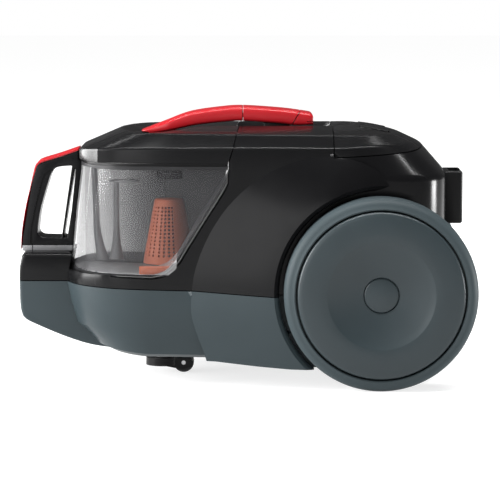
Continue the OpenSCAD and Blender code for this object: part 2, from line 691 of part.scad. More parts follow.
trim_line = [[-161, 217], [-161, 219.6], [-179.4, 213.8], [-200.4, 207.6], [-204.4, 199.4], [-212.4, 169.6],
    [-217.4, 143], [-219.3, 122.6], [-217, 122.6], [-215.2, 142], [-210.2, 169.2], [-202.8, 197.8],
    [-198.4, 206],
    [-178.2, 211.9]];
module bin_handle_trim() color([0.75, 0.08, 0.1]) side(trim_line, -20, 20);
module bin_seal() color([0.06, 0.06, 0.06]) difference() {
    layer_block(207.4, 210.2, bin_plan(-157.4, -16, body_hw - 3));
    layer_block(207, 211, bin_plan(-153, -20, body_hw - 7.5));
}
module cone_filter() color([0.72, 0.33, 0.22]) difference() {
    intersection() {
        union() {
            translate([cone_x, 0, cone_foot]) cylinder(h = cone_h, r1 = cone_r1, r2 = cone_r2, $fn = 60);
            rod_z(106, 111, 26, cone_x, 0);
        }
        translate([-0.6, 0, 0.15]) side(bin_inner_line);
        bin_space(-2.6, 12);
    }
    intersection() {
        translate([cone_x, 0, 105]) cylinder(h = 63.6, r1 = 20.6, r2 = 12.8, $fn = 60);
        translate([-2.4, 0, 1.9]) side(bin_inner_line);
    }
    rod_z(90, 112, outlet_r, outlet_x, 0, 32);
    for (k = [0:9], a = [96:24:264]) translate([cone_x, 0, 118 + 5 * k]) rotate([0, 90, a])
        cylinder(h = 40, r = 1.3, $fn = 4);
}
module cyclone_tube() color([0.45, 0.45, 0.47, 0.6]) difference() {
    union() {
        rod_z(146, 208, 22, cyclone_x, 0);
        translate([cyclone_x, 0, 134]) cylinder(h = 12.1, r1 = 29, r2 = 22, $fn = 48);
        rod_z(109.2, 188, riser_r + 2, riser_x, 0, 32);
    }
    translate([cone_x, 0, cone_foot]) cylinder(h = cone_h, r1 = cone_r1 + 0.8, r2 = cone_r2 + 0.8,
        $fn = 60);
    rod_z(145, 220, 20, cyclone_x, 0);
    translate([cyclone_x, 0, 133.9]) cylinder(h = 12.2, r1 = 27, r2 = 20, $fn = 48);
    rod_z(100, 186, riser_r, riser_x, 0, 32);
}
module bin_lid() color([0.09, 0.09, 0.1]) difference() {
    union() {
        difference() {
            intersection() {
                upper_body(0);
                side(lid_line);
            }
            difference() {
                upper_body(wall);
                box(-200, 20, -120, 120, 200, lid_bottom + 2.6);
                box(-18.6, 20, -120, 120, 200, 300);
                top_channel(wall);
            }
        }
        rod_z(188, lid_bottom + 1, 12.5, cone_x + 2, 0, 32);
    }
    rod_z(180, lid_bottom + 5, 10.4, cone_x + 2, 0, 32);
    top_channel(0);
    box(-13, 4, -4.8, 4.8, 215, 262);
}

lower_chassis();
upper_housing();
nose_cover();
rear_cover();
hose_socket();
inlet_duct();
outlet_duct();
port_gaskets();
filter_housing();
motor_prefilter();
motor_fan_case();
motor_can();
motor_stator();
motor_bearings();
motor_mounts();
carbon_brushes();
motor_shaft();
motor_armature();
motor_impeller();
hepa_filter();
exhaust_door();
exhaust_hinge_pin();
control_board();
power_switch();
power_button();
power_spring();
rewind_button();
rewind_spring();
reel_brake();
brake_pivot();
reel_drum();
reel_spindle();
reel_spring_case();
cord_outlet();
park_bracket();
rear_grip();
release_button();
latch_rod();
release_spring();
screws();
left_axle();
right_axle();
left_tyre();
left_disc();
left_hub_cap();
right_tyre();
right_disc();
right_hub_cap();
caster_bush();
caster_fork();
caster_axle();
caster_roller();
dust_bin();
bin_handle();
bin_handle_trim();
bin_seal();
cone_filter();
cyclone_tube();
bin_lid();
front_grip();
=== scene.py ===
"""Canister vacuum cleaner: the visible pieces, their materials, the studio and the camera.

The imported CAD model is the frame. Lengths here are millimetres, and new_object() turns them into
metres; the lights and the camera are placed in metres. X runs from nose to rear, the near side
is -Y, Z is up.
"""
from math import copysign, cos, pi, radians, sin, sqrt

import bmesh
import bpy
import numpy as np
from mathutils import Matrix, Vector


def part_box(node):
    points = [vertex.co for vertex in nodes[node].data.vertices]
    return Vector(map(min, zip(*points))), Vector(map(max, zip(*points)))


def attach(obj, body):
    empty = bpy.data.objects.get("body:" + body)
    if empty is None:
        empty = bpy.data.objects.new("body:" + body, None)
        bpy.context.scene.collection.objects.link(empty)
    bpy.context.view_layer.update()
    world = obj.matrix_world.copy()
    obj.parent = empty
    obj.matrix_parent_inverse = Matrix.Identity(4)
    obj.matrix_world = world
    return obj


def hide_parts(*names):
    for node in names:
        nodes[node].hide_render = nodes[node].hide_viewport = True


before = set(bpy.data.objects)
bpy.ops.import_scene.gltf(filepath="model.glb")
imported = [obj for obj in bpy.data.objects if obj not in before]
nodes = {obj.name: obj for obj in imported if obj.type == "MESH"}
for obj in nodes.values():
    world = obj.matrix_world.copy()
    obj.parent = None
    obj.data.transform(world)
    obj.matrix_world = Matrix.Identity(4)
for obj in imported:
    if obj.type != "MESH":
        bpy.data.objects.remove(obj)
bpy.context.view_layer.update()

MM = 0.001


def cad(node):
    """Lowest and highest corner of a CAD node, in millimetres."""
    low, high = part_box(node)
    return np.array(low) / MM, np.array(high) / MM


# ---- driving dimensions, from the frame ----

TYRE_LOW, TYRE_HIGH = cad("left_tyre")
WHEEL_R = (TYRE_HIGH[2] - TYRE_LOW[2]) / 2
AXLE_X = (TYRE_LOW[0] + TYRE_HIGH[0]) / 2
AXLE_Z = WHEEL_R
WHEEL_IN = -TYRE_HIGH[1]
WHEEL_OUT = -cad("left_disc")[0][1]
WELL_R = WHEEL_R + 4.4
BODY_HW = cad("bin_lid")[1][1]
ARCH_TOP = cad("front_grip")[1][2]
NOSE_X = cad("nose_cover")[0][0]
REAR_X = 194.0
FENDER_HW = 121.0
PANEL_GAP = 0.9
SPLIT_X = -2.0
LID_Z = 212.4
DECK_Z = 240.0
HOLLOW_HW = 50.0
BIN_TOP_Z = cad("dust_bin")[1][2]
WORLD_FILL = 0.10
SEAM = [(-240, 94.9), (-174, 94.9), (-46, 91.7), (14, 88.6), (40, 87.5), (240, 87.5)]


# ---- mesh helpers ----

def resample(points, count):
    """Evenly spaced points on a smooth curve through the given ones."""
    p = np.array(points, float)
    if len(p) == 2:
        return p[0] + (p[1] - p[0]) * np.linspace(0, 1, count)[:, None]
    ends = np.vstack([2 * p[0] - p[1], p, 2 * p[-1] - p[-2]])
    dense = []
    for i in range(len(p) - 1):
        a, b, c, d = ends[i:i + 4]
        for t in np.linspace(0, 1, 20, endpoint=False):
            dense.append(0.5 * (2 * b + (c - a) * t + (2 * a - 5 * b + 4 * c - d) * t ** 2
                                + (3 * b - a - 3 * c + d) * t ** 3))
    dense = np.array(dense + [p[-1]])
    steps = np.linalg.norm(np.diff(dense, axis=0), axis=1)
    travel = np.concatenate([[0], np.cumsum(steps)])
    at = np.linspace(0, travel[-1], count)
    return np.column_stack([np.interp(at, travel, dense[:, k]) for k in range(p.shape[1])])


def chain(*runs):
    """Joins (points, count) runs end to end, each smooth, with a corner where two meet."""
    parts = [resample(points, count) for points, count in runs]
    return np.vstack([part[:-1] for part in parts[:-1]] + [parts[-1]])


def soften(columns, reach, steps=3):
    """Rounds the corners along axis 0 of an array of levels; reach is how far from each corner."""
    levels = [columns[0]]
    for i in range(1, len(columns) - 1):
        before, corner, after = columns[i - 1], columns[i], columns[i + 1]
        if reach[i] <= 0:
            levels.append(corner)
            continue
        to_before = before - corner
        to_after = after - corner
        len_before = np.linalg.norm(to_before, axis=1, keepdims=True) + 1e-9
        len_after = np.linalg.norm(to_after, axis=1, keepdims=True) + 1e-9
        start = corner + to_before / len_before * np.minimum(reach[i], len_before * 0.45)
        end = corner + to_after / len_after * np.minimum(reach[i], len_after * 0.45)
        for t in np.linspace(0, 1, steps + 1):
            levels.append((1 - t) ** 2 * start + 2 * t * (1 - t) * corner + t ** 2 * end)
    levels.append(columns[-1])
    return levels


def mirrored(half):
    """Closes a half outline on the near side (-Y) with its mirror image on the far side."""
    far = half[::-1] * np.array([1, -1, 1])
    if abs(half[-1][1]) < 1e-6:
        far = far[1:]
    if abs(half[0][1]) < 1e-6:
        far = far[:-1]
    return np.vstack([half, far])


def new_object(name, verts, faces):
    """A mesh object from points in millimetres, merged where they meet, with its normals outward."""
    mesh = bpy.data.meshes.new(name)
    mesh.from_pydata([tuple(v) for v in np.asarray(verts, float) * MM], [], faces)
    mesh.validate()
    obj = bpy.data.objects.new(name, mesh)
    bpy.context.collection.objects.link(obj)
    work = bmesh.new()
    work.from_mesh(mesh)
    bmesh.ops.remove_doubles(work, verts=work.verts, dist=1e-6)
    bmesh.ops.recalc_face_normals(work, faces=work.faces)
    work.to_mesh(mesh)
    work.free()
    return obj


def loft(name, levels):
    """A closed solid through levels, which are rings of equally many points."""
    count = len(levels[0])
    verts = np.vstack(levels)
    faces = []
    for i in range(len(levels) - 1):
        for j in range(count):
            k = (j + 1) % count
            faces.append((i * count + j, i * count + k, (i + 1) * count + k, (i + 1) * count + j))
    faces.append(tuple(range(count))[::-1])
    faces.append(tuple((len(levels) - 1) * count + j for j in range(count)))
    return new_object(name, verts, faces)


def prism(name, outline, y0, y1):
    """An (X, Z) outline drawn out from y0 to y1."""
    ring = [[(x, y, z) for x, z in outline] for y in (y0, y1)]
    return loft(name, [np.array(r, float) for r in ring])


def box(name, low, high):
    """A box between two corners."""
    x0, y0, z0 = low
    x1, y1, z1 = high
    return prism(name, [(x0, z0), (x1, z0), (x1, z1), (x0, z1)], y0, y1)


def lathe(name, profile, centre, axis="y", steps=96, side=1):
    """Turns a closed (radius, distance along the axis) profile round an axis."""
    levels = []
    for radius, along in profile:
        ring = []
        for k in range(steps):
            a = 2 * pi * k / steps
            u, v = max(radius, 0.001) * cos(a), max(radius, 0.001) * sin(a)
            offset = {"x": (along * side, u, v), "y": (u, along * side, v), "z": (u, v, along)}[axis]
            ring.append(np.array(centre) + offset)
        levels.append(np.array(ring))
    verts = np.vstack(levels)
    faces = []
    total = len(levels)
    for i in range(total):
        n = (i + 1) % total
        for j in range(steps):
            k = (j + 1) % steps
            faces.append((i * steps + j, i * steps + k, n * steps + k, n * steps + j))
    return new_object(name, verts, faces)


def cut(obj, other, operation="DIFFERENCE", keep=False):
    """Boolean of two solids, baked into obj."""
    modifier = obj.modifiers.new("cut", "BOOLEAN")
    modifier.operation = operation
    modifier.object = other
    modifier.solver = "MANIFOLD"
    bake(obj)
    if not keep:
        bpy.data.objects.remove(other)
    return obj


def bake(obj):
    """Turns an object's modifiers into its mesh."""
    graph = bpy.context.evaluated_depsgraph_get()
    mesh = bpy.data.meshes.new_from_object(obj.evaluated_get(graph))
    obj.modifiers.clear()
    old = obj.data
    obj.data = mesh
    bpy.data.meshes.remove(old)


def copy(obj, name):
    """A second object with a mesh of its own."""
    twin = obj.copy()
    twin.data = obj.data.copy()
    twin.name = name
    bpy.context.collection.objects.link(twin)
    return twin


def clean(obj, distance=0.02):
    """Merges the slivers that booleans leave."""
    work = bmesh.new()
    work.from_mesh(obj.data)
    bmesh.ops.remove_doubles(work, verts=work.verts, dist=distance * MM)
    bmesh.ops.dissolve_degenerate(work, edges=work.edges, dist=distance * MM)
    work.to_mesh(obj.data)
    work.free()


def bevel(obj, width, segments=3, angle=35):
    """Rounds the edges that turn more than angle."""
    modifier = obj.modifiers.new("edges", "BEVEL")
    modifier.width = width * MM
    modifier.segments = segments
    modifier.limit_method = "ANGLE"
    modifier.angle_limit = radians(angle)
    modifier.use_clamp_overlap = False
    modifier.harden_normals = False
    bake(obj)


def smooth(obj, angle=28):
    """Smooth shading, with hard edges where the surface turns more than angle."""
    obj.data.shade_smooth()
    obj.data.set_sharp_from_angle(angle=radians(angle))


def finish(obj, name, body, material, node_names=(), angle=28):
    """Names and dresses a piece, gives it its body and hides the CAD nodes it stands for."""
    obj.name = name
    obj.data.name = name
    smooth(obj, angle)
    obj.data.materials.clear()
    obj.data.materials.append(material)
    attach(obj, body)
    if node_names:
        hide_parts(*node_names)
    return obj


# ---- materials ----

def remap(tree, value, from_min, from_max, to_min, to_max):
    """A Map Range node on a socket; gives its result socket."""
    node = tree.nodes.new("ShaderNodeMapRange")
    limits = {"From Min": from_min, "From Max": from_max, "To Min": to_min, "To Max": to_max}
    for label, number in limits.items():
        node.inputs[label].default_value = number
    tree.links.new(value, node.inputs["Value"])
    return node.outputs["Result"]


def combine(tree, operation, *values):
    """A Math node on one or two sockets; gives its value socket."""
    node = tree.nodes.new("ShaderNodeMath")
    node.operation = operation
    for value, socket in zip(values, node.inputs):
        tree.links.new(value, socket)
    return node.outputs["Value"]


def material(name, colour, rough, grain=900.0, bump=0.02, rough_spread=0.02, tone=0.06,
             specular=0.5, metal=0.0, alpha=1.0, shade_run=None, matte_top=0.0):
    """A moulded or machined surface: colour and roughness drift a little, with a fine grain.

    shade_run = (x0, alpha0, x1, alpha1) makes the piece more and more opaque along X, a painted shade
    that darkens it towards one end, and matte_top is how much rougher the moulding is on the deck and in
    the hollow under the handle.
    """
    mat = bpy.data.materials.new(name)
    mat.use_nodes = True
    tree = mat.node_tree
    shader = tree.nodes["Principled BSDF"]
    shader.inputs["Metallic"].default_value = metal
    shader.inputs["Specular IOR Level"].default_value = specular
    shader.inputs["Alpha"].default_value = alpha
    place = tree.nodes.new("ShaderNodeTexCoord")

    def noise(scale, detail):
        node = tree.nodes.new("ShaderNodeTexNoise")
        node.inputs["Scale"].default_value = scale
        node.inputs["Detail"].default_value = detail
        tree.links.new(place.outputs["Object"], node.inputs["Vector"])
        return node.outputs["Fac"]

    drift = noise(14.0, 3.0)
    ramp = tree.nodes.new("ShaderNodeValToRGB")
    ramp.color_ramp.elements[0].position = 0.3
    ramp.color_ramp.elements[1].position = 0.7
    ramp.color_ramp.elements[0].color = [c * (1 - tone) for c in colour] + [1]
    ramp.color_ramp.elements[1].color = [c * (1 + tone) for c in colour] + [1]
    tree.links.new(drift, ramp.inputs["Fac"])
    tree.links.new(ramp.outputs["Color"], shader.inputs["Base Color"])
    axes = tree.nodes.new("ShaderNodeSeparateXYZ")
    tree.links.new(place.outputs["Object"], axes.inputs["Vector"])
    roughness = remap(tree, noise(60.0, 4.0), 0.3, 0.7, rough - rough_spread, rough + rough_spread)
    if matte_top:
        above = remap(tree, axes.outputs["Z"], DECK_Z * MM, (DECK_Z + 1.2) * MM, 0, matte_top)
        off_middle = combine(tree, "ABSOLUTE", axes.outputs["Y"])
        hollow = remap(tree, off_middle, HOLLOW_HW * MM, (HOLLOW_HW - 8) * MM, 0, matte_top)
        roughness = combine(tree, "ADD", roughness, combine(tree, "MAXIMUM", above, hollow))
    tree.links.new(roughness, shader.inputs["Roughness"])
    # Painted shade: the alpha rises along X, so the piece darkens towards one end.
    if shade_run:
        x0, alpha0, x1, alpha1 = shade_run
        shade_alpha = remap(tree, axes.outputs["X"], x0 * MM, x1 * MM, alpha0, alpha1)
        tree.links.new(shade_alpha, shader.inputs["Alpha"])
    height = noise(grain, 2.0)
    relief = tree.nodes.new("ShaderNodeBump")
    relief.inputs["Strength"].default_value = bump
    relief.inputs["Distance"].default_value = 0.0003
    tree.links.new(height, relief.inputs["Height"])
    tree.links.new(relief.outputs["Normal"], shader.inputs["Normal"])
    return mat


BLACK = material("black_satin", (0.0036, 0.0036, 0.0039), 0.22, grain=1400, bump=0.03, specular=0.11)
LID_BLACK = material("lid_satin", (0.0044, 0.0044, 0.0047), 0.25, grain=1400, bump=0.02, specular=0.09,
                     matte_top=0.34)
DEEP_BLACK = material("deep_black", (0.0040, 0.0040, 0.0043), 0.42, grain=1600, bump=0.06, specular=0.14)
HANDLE_BLACK = material("handle_black", (0.0036, 0.0036, 0.0040), 0.28, grain=1400, bump=0.03,
                        specular=0.10)
SLATE = material("slate_satin", (0.0205, 0.0285, 0.0318), 0.36, grain=1700, bump=0.06, specular=0.16)
WHEEL_SLATE = material("wheel_slate", (0.0175, 0.0245, 0.0275), 0.36, grain=1700, bump=0.05,
                       specular=0.24)
TYRE_SLATE = material("tyre_slate", (0.0270, 0.0360, 0.0395), 0.50, grain=1800, bump=0.10, specular=0.10)
RED = material("red_satin", (0.29, 0.006, 0.010), 0.30, grain=1500, bump=0.02, specular=0.3)
GREY = material("grey_moulded", (0.16, 0.16, 0.165), 0.45, grain=1200, bump=0.06)
# Light grey of the handle's foot: partly its own colour, partly a painted reflection on its rounded lower
# edge.
FOOT_GREY_AND_SHEEN = material("foot_grey_and_sheen", (0.16, 0.16, 0.165), 0.28, grain=1200, bump=0.03)
TERRACOTTA = material("terracotta", (0.47, 0.13, 0.066), 0.55, grain=1500, bump=0.05, specular=0.15)
RUBBER = material("rubber", (0.012, 0.012, 0.012), 0.6, grain=1500, bump=0.15, specular=0.2)
ROLLER = material("roller", (0.01, 0.01, 0.011), 0.4, grain=1200, bump=0.05, specular=0.2)
STEEL = material("steel", (0.42, 0.42, 0.43), 0.3, grain=700, bump=0.05, metal=1.0)
BRASS = material("brass", (0.55, 0.38, 0.14), 0.35, grain=700, bump=0.06, metal=1.0)
COPPER = material("copper", (0.50, 0.22, 0.10), 0.4, grain=900, bump=0.2, metal=1.0)
PAPER = material("paper", (0.72, 0.71, 0.67), 0.85, grain=700, bump=0.3)
FOAM = material("foam", (0.45, 0.45, 0.43), 0.95, grain=500, bump=0.8)
BOARD = material("board", (0.02, 0.11, 0.045), 0.4, grain=900, bump=0.05)
SMOKE = material("smoke_clear", (0.050, 0.050, 0.053), 0.12, grain=300, bump=0.01, specular=0.25,
                 alpha=0.24)
# A dark sheet that grows more opaque towards the rear of the bin: painted shade.
SHADE_PAINT_SHEET = material("smoke_shade_paint", (0.045, 0.045, 0.047), 0.40, grain=300, bump=0.01, specular=0.2,
                  shade_run=(-150, 0.12, -72, 0.92))
FLANGE = material("smoke_flange", (0.016, 0.016, 0.017), 0.40, grain=300, bump=0.01, specular=0.14)
# A light grey strip: a painted highlight along the clear rim's cut edge.
RIM_HIGHLIGHT = material("clear_rim_painted_highlight", (0.11, 0.11, 0.11), 0.40, grain=300, bump=0.01, specular=0.3)
BACK = material("smoke_back", (0.045, 0.045, 0.047), 0.6, grain=500, bump=0.03, specular=0.1)
FROST = material("smoke_inner", (0.24, 0.24, 0.245), 0.55, grain=300, bump=0.02, specular=0.15)
PALE = material("smoke_floor", (0.34, 0.34, 0.345), 0.20, grain=300, bump=0.02)


# ---- body form ----

FRONT_N, SIDE_N, REAR_N = 16, 34, 22
HIP = (-139.5, -82.5)


def belly(x):
    """Height of the body's bottom edge at x."""
    xs = [-217, -213, -193, -173, -150, -119, -95, -47, -28, 14, 43, 70, 170, 185, 194]
    zs = [66, 59.4, 48.5, 40.3, 32.9, 28.4, 26, 25.2, 24.8, 21, 19.1, 18.7, 18.7, 22, 30]
    return np.interp(x, xs, zs)


def rear_run(xr, hw, z0, z1):
    """From the straight side round the rear corner to the middle of the rear."""
    points = [(100, -hw), (xr - 54, -hw), (xr - 30, -hw + 3), (xr - 16, -hw + 10),
              (xr - 6, -hw + 26), (xr - 1.5, -hw + 54), (xr, 0)]
    return [(x, y, z0 + (z1 - z0) * (x - 100) / (xr - 100)) for x, y in points]


def tub_level(xf, hw, xr, z, follow=0.0):
    """A rounded outline; with follow 1 its height is z above the belly line."""
    power = 2.5
    mid = -88.0
    turn = np.linspace(pi, pi / 2, 40)
    front = [(mid + (mid - xf) * -abs(cos(t)) ** (2 / power), -hw * sin(t) ** (2 / power)) for t in turn]
    hip = next(i for i, p in enumerate(front) if p[1] < -0.8 * hw)
    points = [(x, y, z) for x, y in front]
    half = chain((points[:hip + 1], FRONT_N), (points[hip:] + [(0, -hw, z), (100, -hw, z)], SIDE_N),
                 (rear_run(xr, hw, z, z), REAR_N))
    if follow:
        half[:, 2] = z + belly(half[:, 0])
    return mirrored(half)


def lid_level(front, side, rear):
    """One level of the upper body; each run starts where the one before ends."""
    side = [front[-1]] + side
    return mirrored(chain((front, FRONT_N), (side, SIDE_N), ([side[-1]] + rear, REAR_N)))


# Front, half width, rear and height of each level of the tub; 1 means height above the belly line
TUB = [(-112, 72, 174, 0.0, 1), (-135, 86, 186, 1.2, 1), (-146, 92, 190, 4.5, 1),
       (-152, 95.5, 192, 11, 1), (-165.5, 100.4, REAR_X, 55), (-172, 101.8, REAR_X, 76),
       (-175.5, BODY_HW, REAR_X, 92), (-176, BODY_HW, REAR_X, 103), (-174.5, BODY_HW, REAR_X, 106.2)]


def body_form():
    """The whole body without nose and fenders, as one solid."""
    tub = [tub_level(*row) for row in TUB]
    hx, hy = HIP

    def edge(z):
        front = [(-160.5, 0, z), (-159.8, -25, z), (-156.5, -48, z), (hx, hy, z)]
        side = [(-122, -90.5, z), (-98, -96.6, z), (-62, -101, z), (-20, -BODY_HW, z),
                (40, -BODY_HW, z), (100, -BODY_HW, z)]
        return front, side

    low = lid_level(*edge(170), rear_run(REAR_X, BODY_HW, 170, 170)[1:])
    waist = lid_level(*edge(199), rear_run(REAR_X, BODY_HW, 199, 199)[1:])
    front = [(-160.5, 0, 220.6), (-159.8, -25, 221.3), (-156.5, -48, 222.8), (hx, hy, 225.2)]
    side = [(-122, -90.5, 225.6), (-98, -96.6, 226.2), (-62, -101, 226.5), (-20, -BODY_HW, 226.8),
            (40, -BODY_HW, 226.8), (84, -BODY_HW, 226.4), (100, -101, 227)]
    rear = [(118, -96, 228.4), (136, -86, 229.2), (151, -70, 229), (162, -46, 228),
            (168, -20, 226.8), (170, 0, 226.4)]
    crease = lid_level(front, side, rear)
    front = [(-120, 0, 240.3), (-118.6, -25, 240.2), (-111, -64, 239.4)]
    side = [(-99, -79, 239.6), (-80, -84, 239.8), (-60, -85, 239.2), (-20, -85.5, 238.8),
            (40, -85, 238.2), (84, -84.5, 237.9), (112, -82, 237.6)]
    rear = [(125, -73, 237.4), (134, -60, 237.2), (142, -42, 236.8), (148, -18, 236.2), (149.5, 0, 236)]
    shoulder = lid_level(front, side, rear)
    front = [(-114, 0, 238.4), (-112, -20, 238.2), (-104, -44, 237.6)]
    side = [(-88, -58, 238.0), (-60, -62, 240.4), (-30, -62, 241.6), (40, -62, 241.4), (92, -62, 241)]
    rear = [(112, -52, 241.2), (124, -32, 241.2), (129, 0, 241.2)]
    middle = lid_level(front, side, rear)
    front = [(-104, 0, 235.2), (-103, -12, 235.2), (-98, -24, 235.4)]
    side = [(-80, -33, 237.4), (-60, -35, 240.6), (-43, -35, 243), (-20, -35, 243.6), (40, -35, 243.6),
            (84, -35, 243.6)]
    rear = [(97, -32, 243.9), (106, -18, 244.3), (108, 0, 244.4)]
    deck = lid_level(front, side, rear)
    centre = deck * np.array([0.7, 0.25, 1.0])
    upper = soften([low, waist, crease, shoulder, middle, deck, centre],
                   [0, 4.0, 2.6, 2.6, 9.0, 3.0, 0], 4)
    return loft("body_form", tub + upper)


CREASE_TOP = [(-50, 91), (-47.7, 108), (-40.7, 129.5), (-30.2, 151), (-15, 172.8), (4.7, 192),
              (28, 206.5), (51, 215), (76.7, 219), (98, 217), (118, 210), (134, 198), (146, 183),
              (154, 166), (158, 150)]
CREASE_LOW = [(-50, 91), (-51, 72), (-46.5, 54.5), (-38.5, 33), (-29, 10), (8, -30), (60, -52),
              (110, -58)]
# How far the fender sinks into the side towards the rear, where it fades, and its outward swell
SINK_X, SINK_Y = [126, 138, 146, 154, 164, 182], [0, 0.5, 2.5, 7, 16, 44]
FADE_X = [74, 144]
SWELL = 1.06
FENDER_STEPS = 150
FENDER_LIMIT = [(-60, 25.4), (-28, 24.9), (14, 21), (43, 19.1), (70, 18.8), (100, 18.8), (128, 150),
                (182, 150), (182, 230), (-60, 230)]


def crease_radius():
    """Distance of the fender's outer crease from the axle, by angle."""
    top = resample(CREASE_TOP, 120)
    low = resample(CREASE_LOW, 60)
    rim = np.vstack([top[::-1], low[1:]])
    angle = np.arctan2(rim[:, 1] - AXLE_Z, rim[:, 0] - AXLE_X) % (2 * pi)
    radius = np.hypot(rim[:, 0] - AXLE_X, rim[:, 1] - AXLE_Z)
    order = np.argsort(angle)
    return angle[order], radius[order]


def fender(side):
    """The bulge round a wheel arch, as a solid that sinks into the body's side."""
    angles, radii = crease_radius()
    lip = WELL_R + 0.2
    shares = np.linspace(1, 0, 15)
    levels = [[] for _ in range(len(shares) + 4)]
    for k in range(FENDER_STEPS):
        a = 2 * pi * k / FENDER_STEPS
        outer = max(np.interp(a, angles, radii), lip + 3)
        if a < angles[0] or a > angles[-1]:
            outer = lip + 3
        cos_a, sin_a = cos(a), sin(a)
        for i, share in enumerate(shares):
            r = lip + 4.5 + (outer - lip - 4.5) * share
            x, z = AXLE_X + r * cos_a, AXLE_Z + r * sin_a
            swell = 1 - share ** SWELL
            fade = 0.5 + 0.5 * cos(pi * np.interp(x, FADE_X, [0, 1]))
            low_fade = np.interp(z, [10, 70], [0.86, 1.0])
            sink = np.interp(x, SINK_X, SINK_Y)
            y = BODY_HW + 0.02 + (FENDER_HW - BODY_HW) * swell * fade * low_fade - sink
            levels[i + 1].append((x, y * side, z))
        inner_y = BODY_HW - 8 - np.interp(AXLE_X + outer * cos_a, SINK_X, SINK_Y)
        levels[0].append((AXLE_X + outer * cos_a, inner_y * side, AXLE_Z + outer * sin_a))
        top = abs(levels[len(shares)][-1][1])
        for i, (dr, dy) in enumerate([(1.6, 1.4), (-0.4, 4.2), (-3, 9)]):
            r = lip + dr
            levels[len(shares) + 1 + i].append((AXLE_X + r * cos_a, (top - dy) * side,
                                                AXLE_Z + r * sin_a))
    bulge = loft("fender", [np.array(level) for level in levels])
    return cut(bulge, zone(FENDER_LIMIT), "INTERSECT")


def nose_outline():
    """The nose in side view."""
    return np.vstack([resample([(NOSE_X + 2, 118.5), (NOSE_X, 108), (NOSE_X - 0.3, 90),
                                (NOSE_X + 0.8, 68), (NOSE_X + 2.5, 61), (NOSE_X + 6, 57)], 14),
                      resample([(NOSE_X + 10, 54.8), (-193, 48.5), (-173, 40.3), (-150, 32.9),
                                (-125, 29)], 12),
                      [(-120, 60), (-120, 104), (-160, 120.8), (-211, 121.6)]])


def block(name, outline, half_width, rounding):
    """A symmetric block from an (X, Z) outline, its two side edges rounded."""
    obj = prism(name, outline, -half_width, half_width)
    bevel(obj, rounding, 4, 40)
    return obj


def zone(outline):
    """A cutter as wide as the machine, from an (X, Z) outline."""
    return prism("zone", outline, -170, 170)


SEAM_TOP = [(x, z + PANEL_GAP / 2) for x, z in SEAM]
SEAM_LOW = [(x, z - PANEL_GAP / 2) for x, z in SEAM]
LID_EDGE = [(-15.8, LID_Z), (-11.4, 226.6), (-8.2, 238.8), (-4.6, 246.4), (SPLIT_X + 0.6, 262)]
COVER_EDGE = [(84.6, 270), (84.6, 218.4), (104, 219.2), (127, 220.4), (150, 221.8), (163, 222.8),
              (176, 224.6), (240, 232)]
BAY = [(-240, 106), (-157, 105.7), (-137, 104.9), (-108, 103.5), (-88, 102.6), (-80, 103.6), (-72, 106.6),
       (-66, 111.4), (-60, 118.6), (-53, 130.6), (-36.4, 157.6), (-25, 175), (-17, 188.2), (-15.2, 192.5),
       (-14.4, 207), (-14.4, 300), (-240, 300)]


def bin_outline(inset, z):
    """The bin's plan at height z: round in front, square behind, where the side cut ends it."""
    share = (z - 104) / 103.5
    xf = -168.6 + 10.6 * share - 0.6 * sin(pi * share) + inset
    hw = BODY_HW - 2.2 - inset
    mid = -96.0
    turn = np.linspace(pi, pi / 2, 22)
    front = [(mid - (mid - xf) * abs(cos(t)) ** 0.8, -hw * sin(t) ** 0.8, z) for t in turn]
    return mirrored(np.array(front + [(-60, -hw, z), (-30, -hw, z), (0, -hw, z), (24, -hw, z)]))


def bin_block(name, inset):
    """The bin's plan as a tall solid."""
    return loft(name, [bin_outline(inset, z) for z in np.linspace(100, 240, 9)])


def channel():
    """The hollow along the top under the carry handle and the thumb recess behind it."""
    levels = []
    for z, half, xf, xr in ((226.6, 22, -66, 66), (228.6, 26.0, -72, 84), (234, 30, -77, 95),
                            (240, 33, -81, 102.5), (243.2, 35, -83, 105.5), (250, 39, -87, 110)):
        corner = min(half * 0.85, 26)
        pts = []
        for cx, cy, start in ((xr - corner, -half + corner, -90), (xr - corner, half - corner, 0),
                              (xf + corner, half - corner, 90), (xf + corner, -half + corner, 180)):
            for t in np.linspace(start, start + 90, 9):
                pts.append((cx + corner * cos(radians(t)), cy + corner * sin(radians(t)), z))
        levels.append(np.array(pts))
    return loft("channel", levels)


def wells():
    """Cutters for the two wheel wells."""
    return [lathe("well", [(0, BODY_HW - 2), (WELL_R, BODY_HW - 2), (WELL_R, 160), (0, 160)],
                  (AXLE_X, 0, AXLE_Z), side=s, steps=128) for s in (-1, 1)]


SCREW_SPOTS = [(-120, -62), (-120, 62), (-22, -84), (-22, 84)]
# Lower ends of a key and of the hole for it, corner radius, gap round it and rise above the deck
KEY_LOW, KEY_HOLE_LOW = 238, 224
KEY_CORNER, KEY_GAP, KEY_RISE = 2.6, 0.6, 0.8


def key_block(name, node, grow):
    """The plan of a push button, from its CAD box, as a tall block."""
    low, high = cad(node)
    foot_z = KEY_HOLE_LOW if grow else KEY_LOW
    key = box(name, (low[0] - grow, low[1] - grow, foot_z), (high[0] + grow, high[1] + grow, 262))
    bevel(key, KEY_CORNER + grow, 4, 40)
    return key


def push_keys(form):
    """Two keys whose tops follow the deck a little above it."""
    deck = copy(form, "deck")
    for vertex in deck.data.vertices:
        vertex.co.z += KEY_RISE * MM
    for node, body in (("power_button", "power_key"), ("rewind_button", "rewind_key")):
        key = key_block("key", node, 0.0)
        cut(key, deck, "INTERSECT", keep=True)
        clean(key)
        bevel(key, 0.5, 2, 40)
        finish(key, node + "_shell", body, DEEP_BLACK, [node])
    bpy.data.objects.remove(deck)


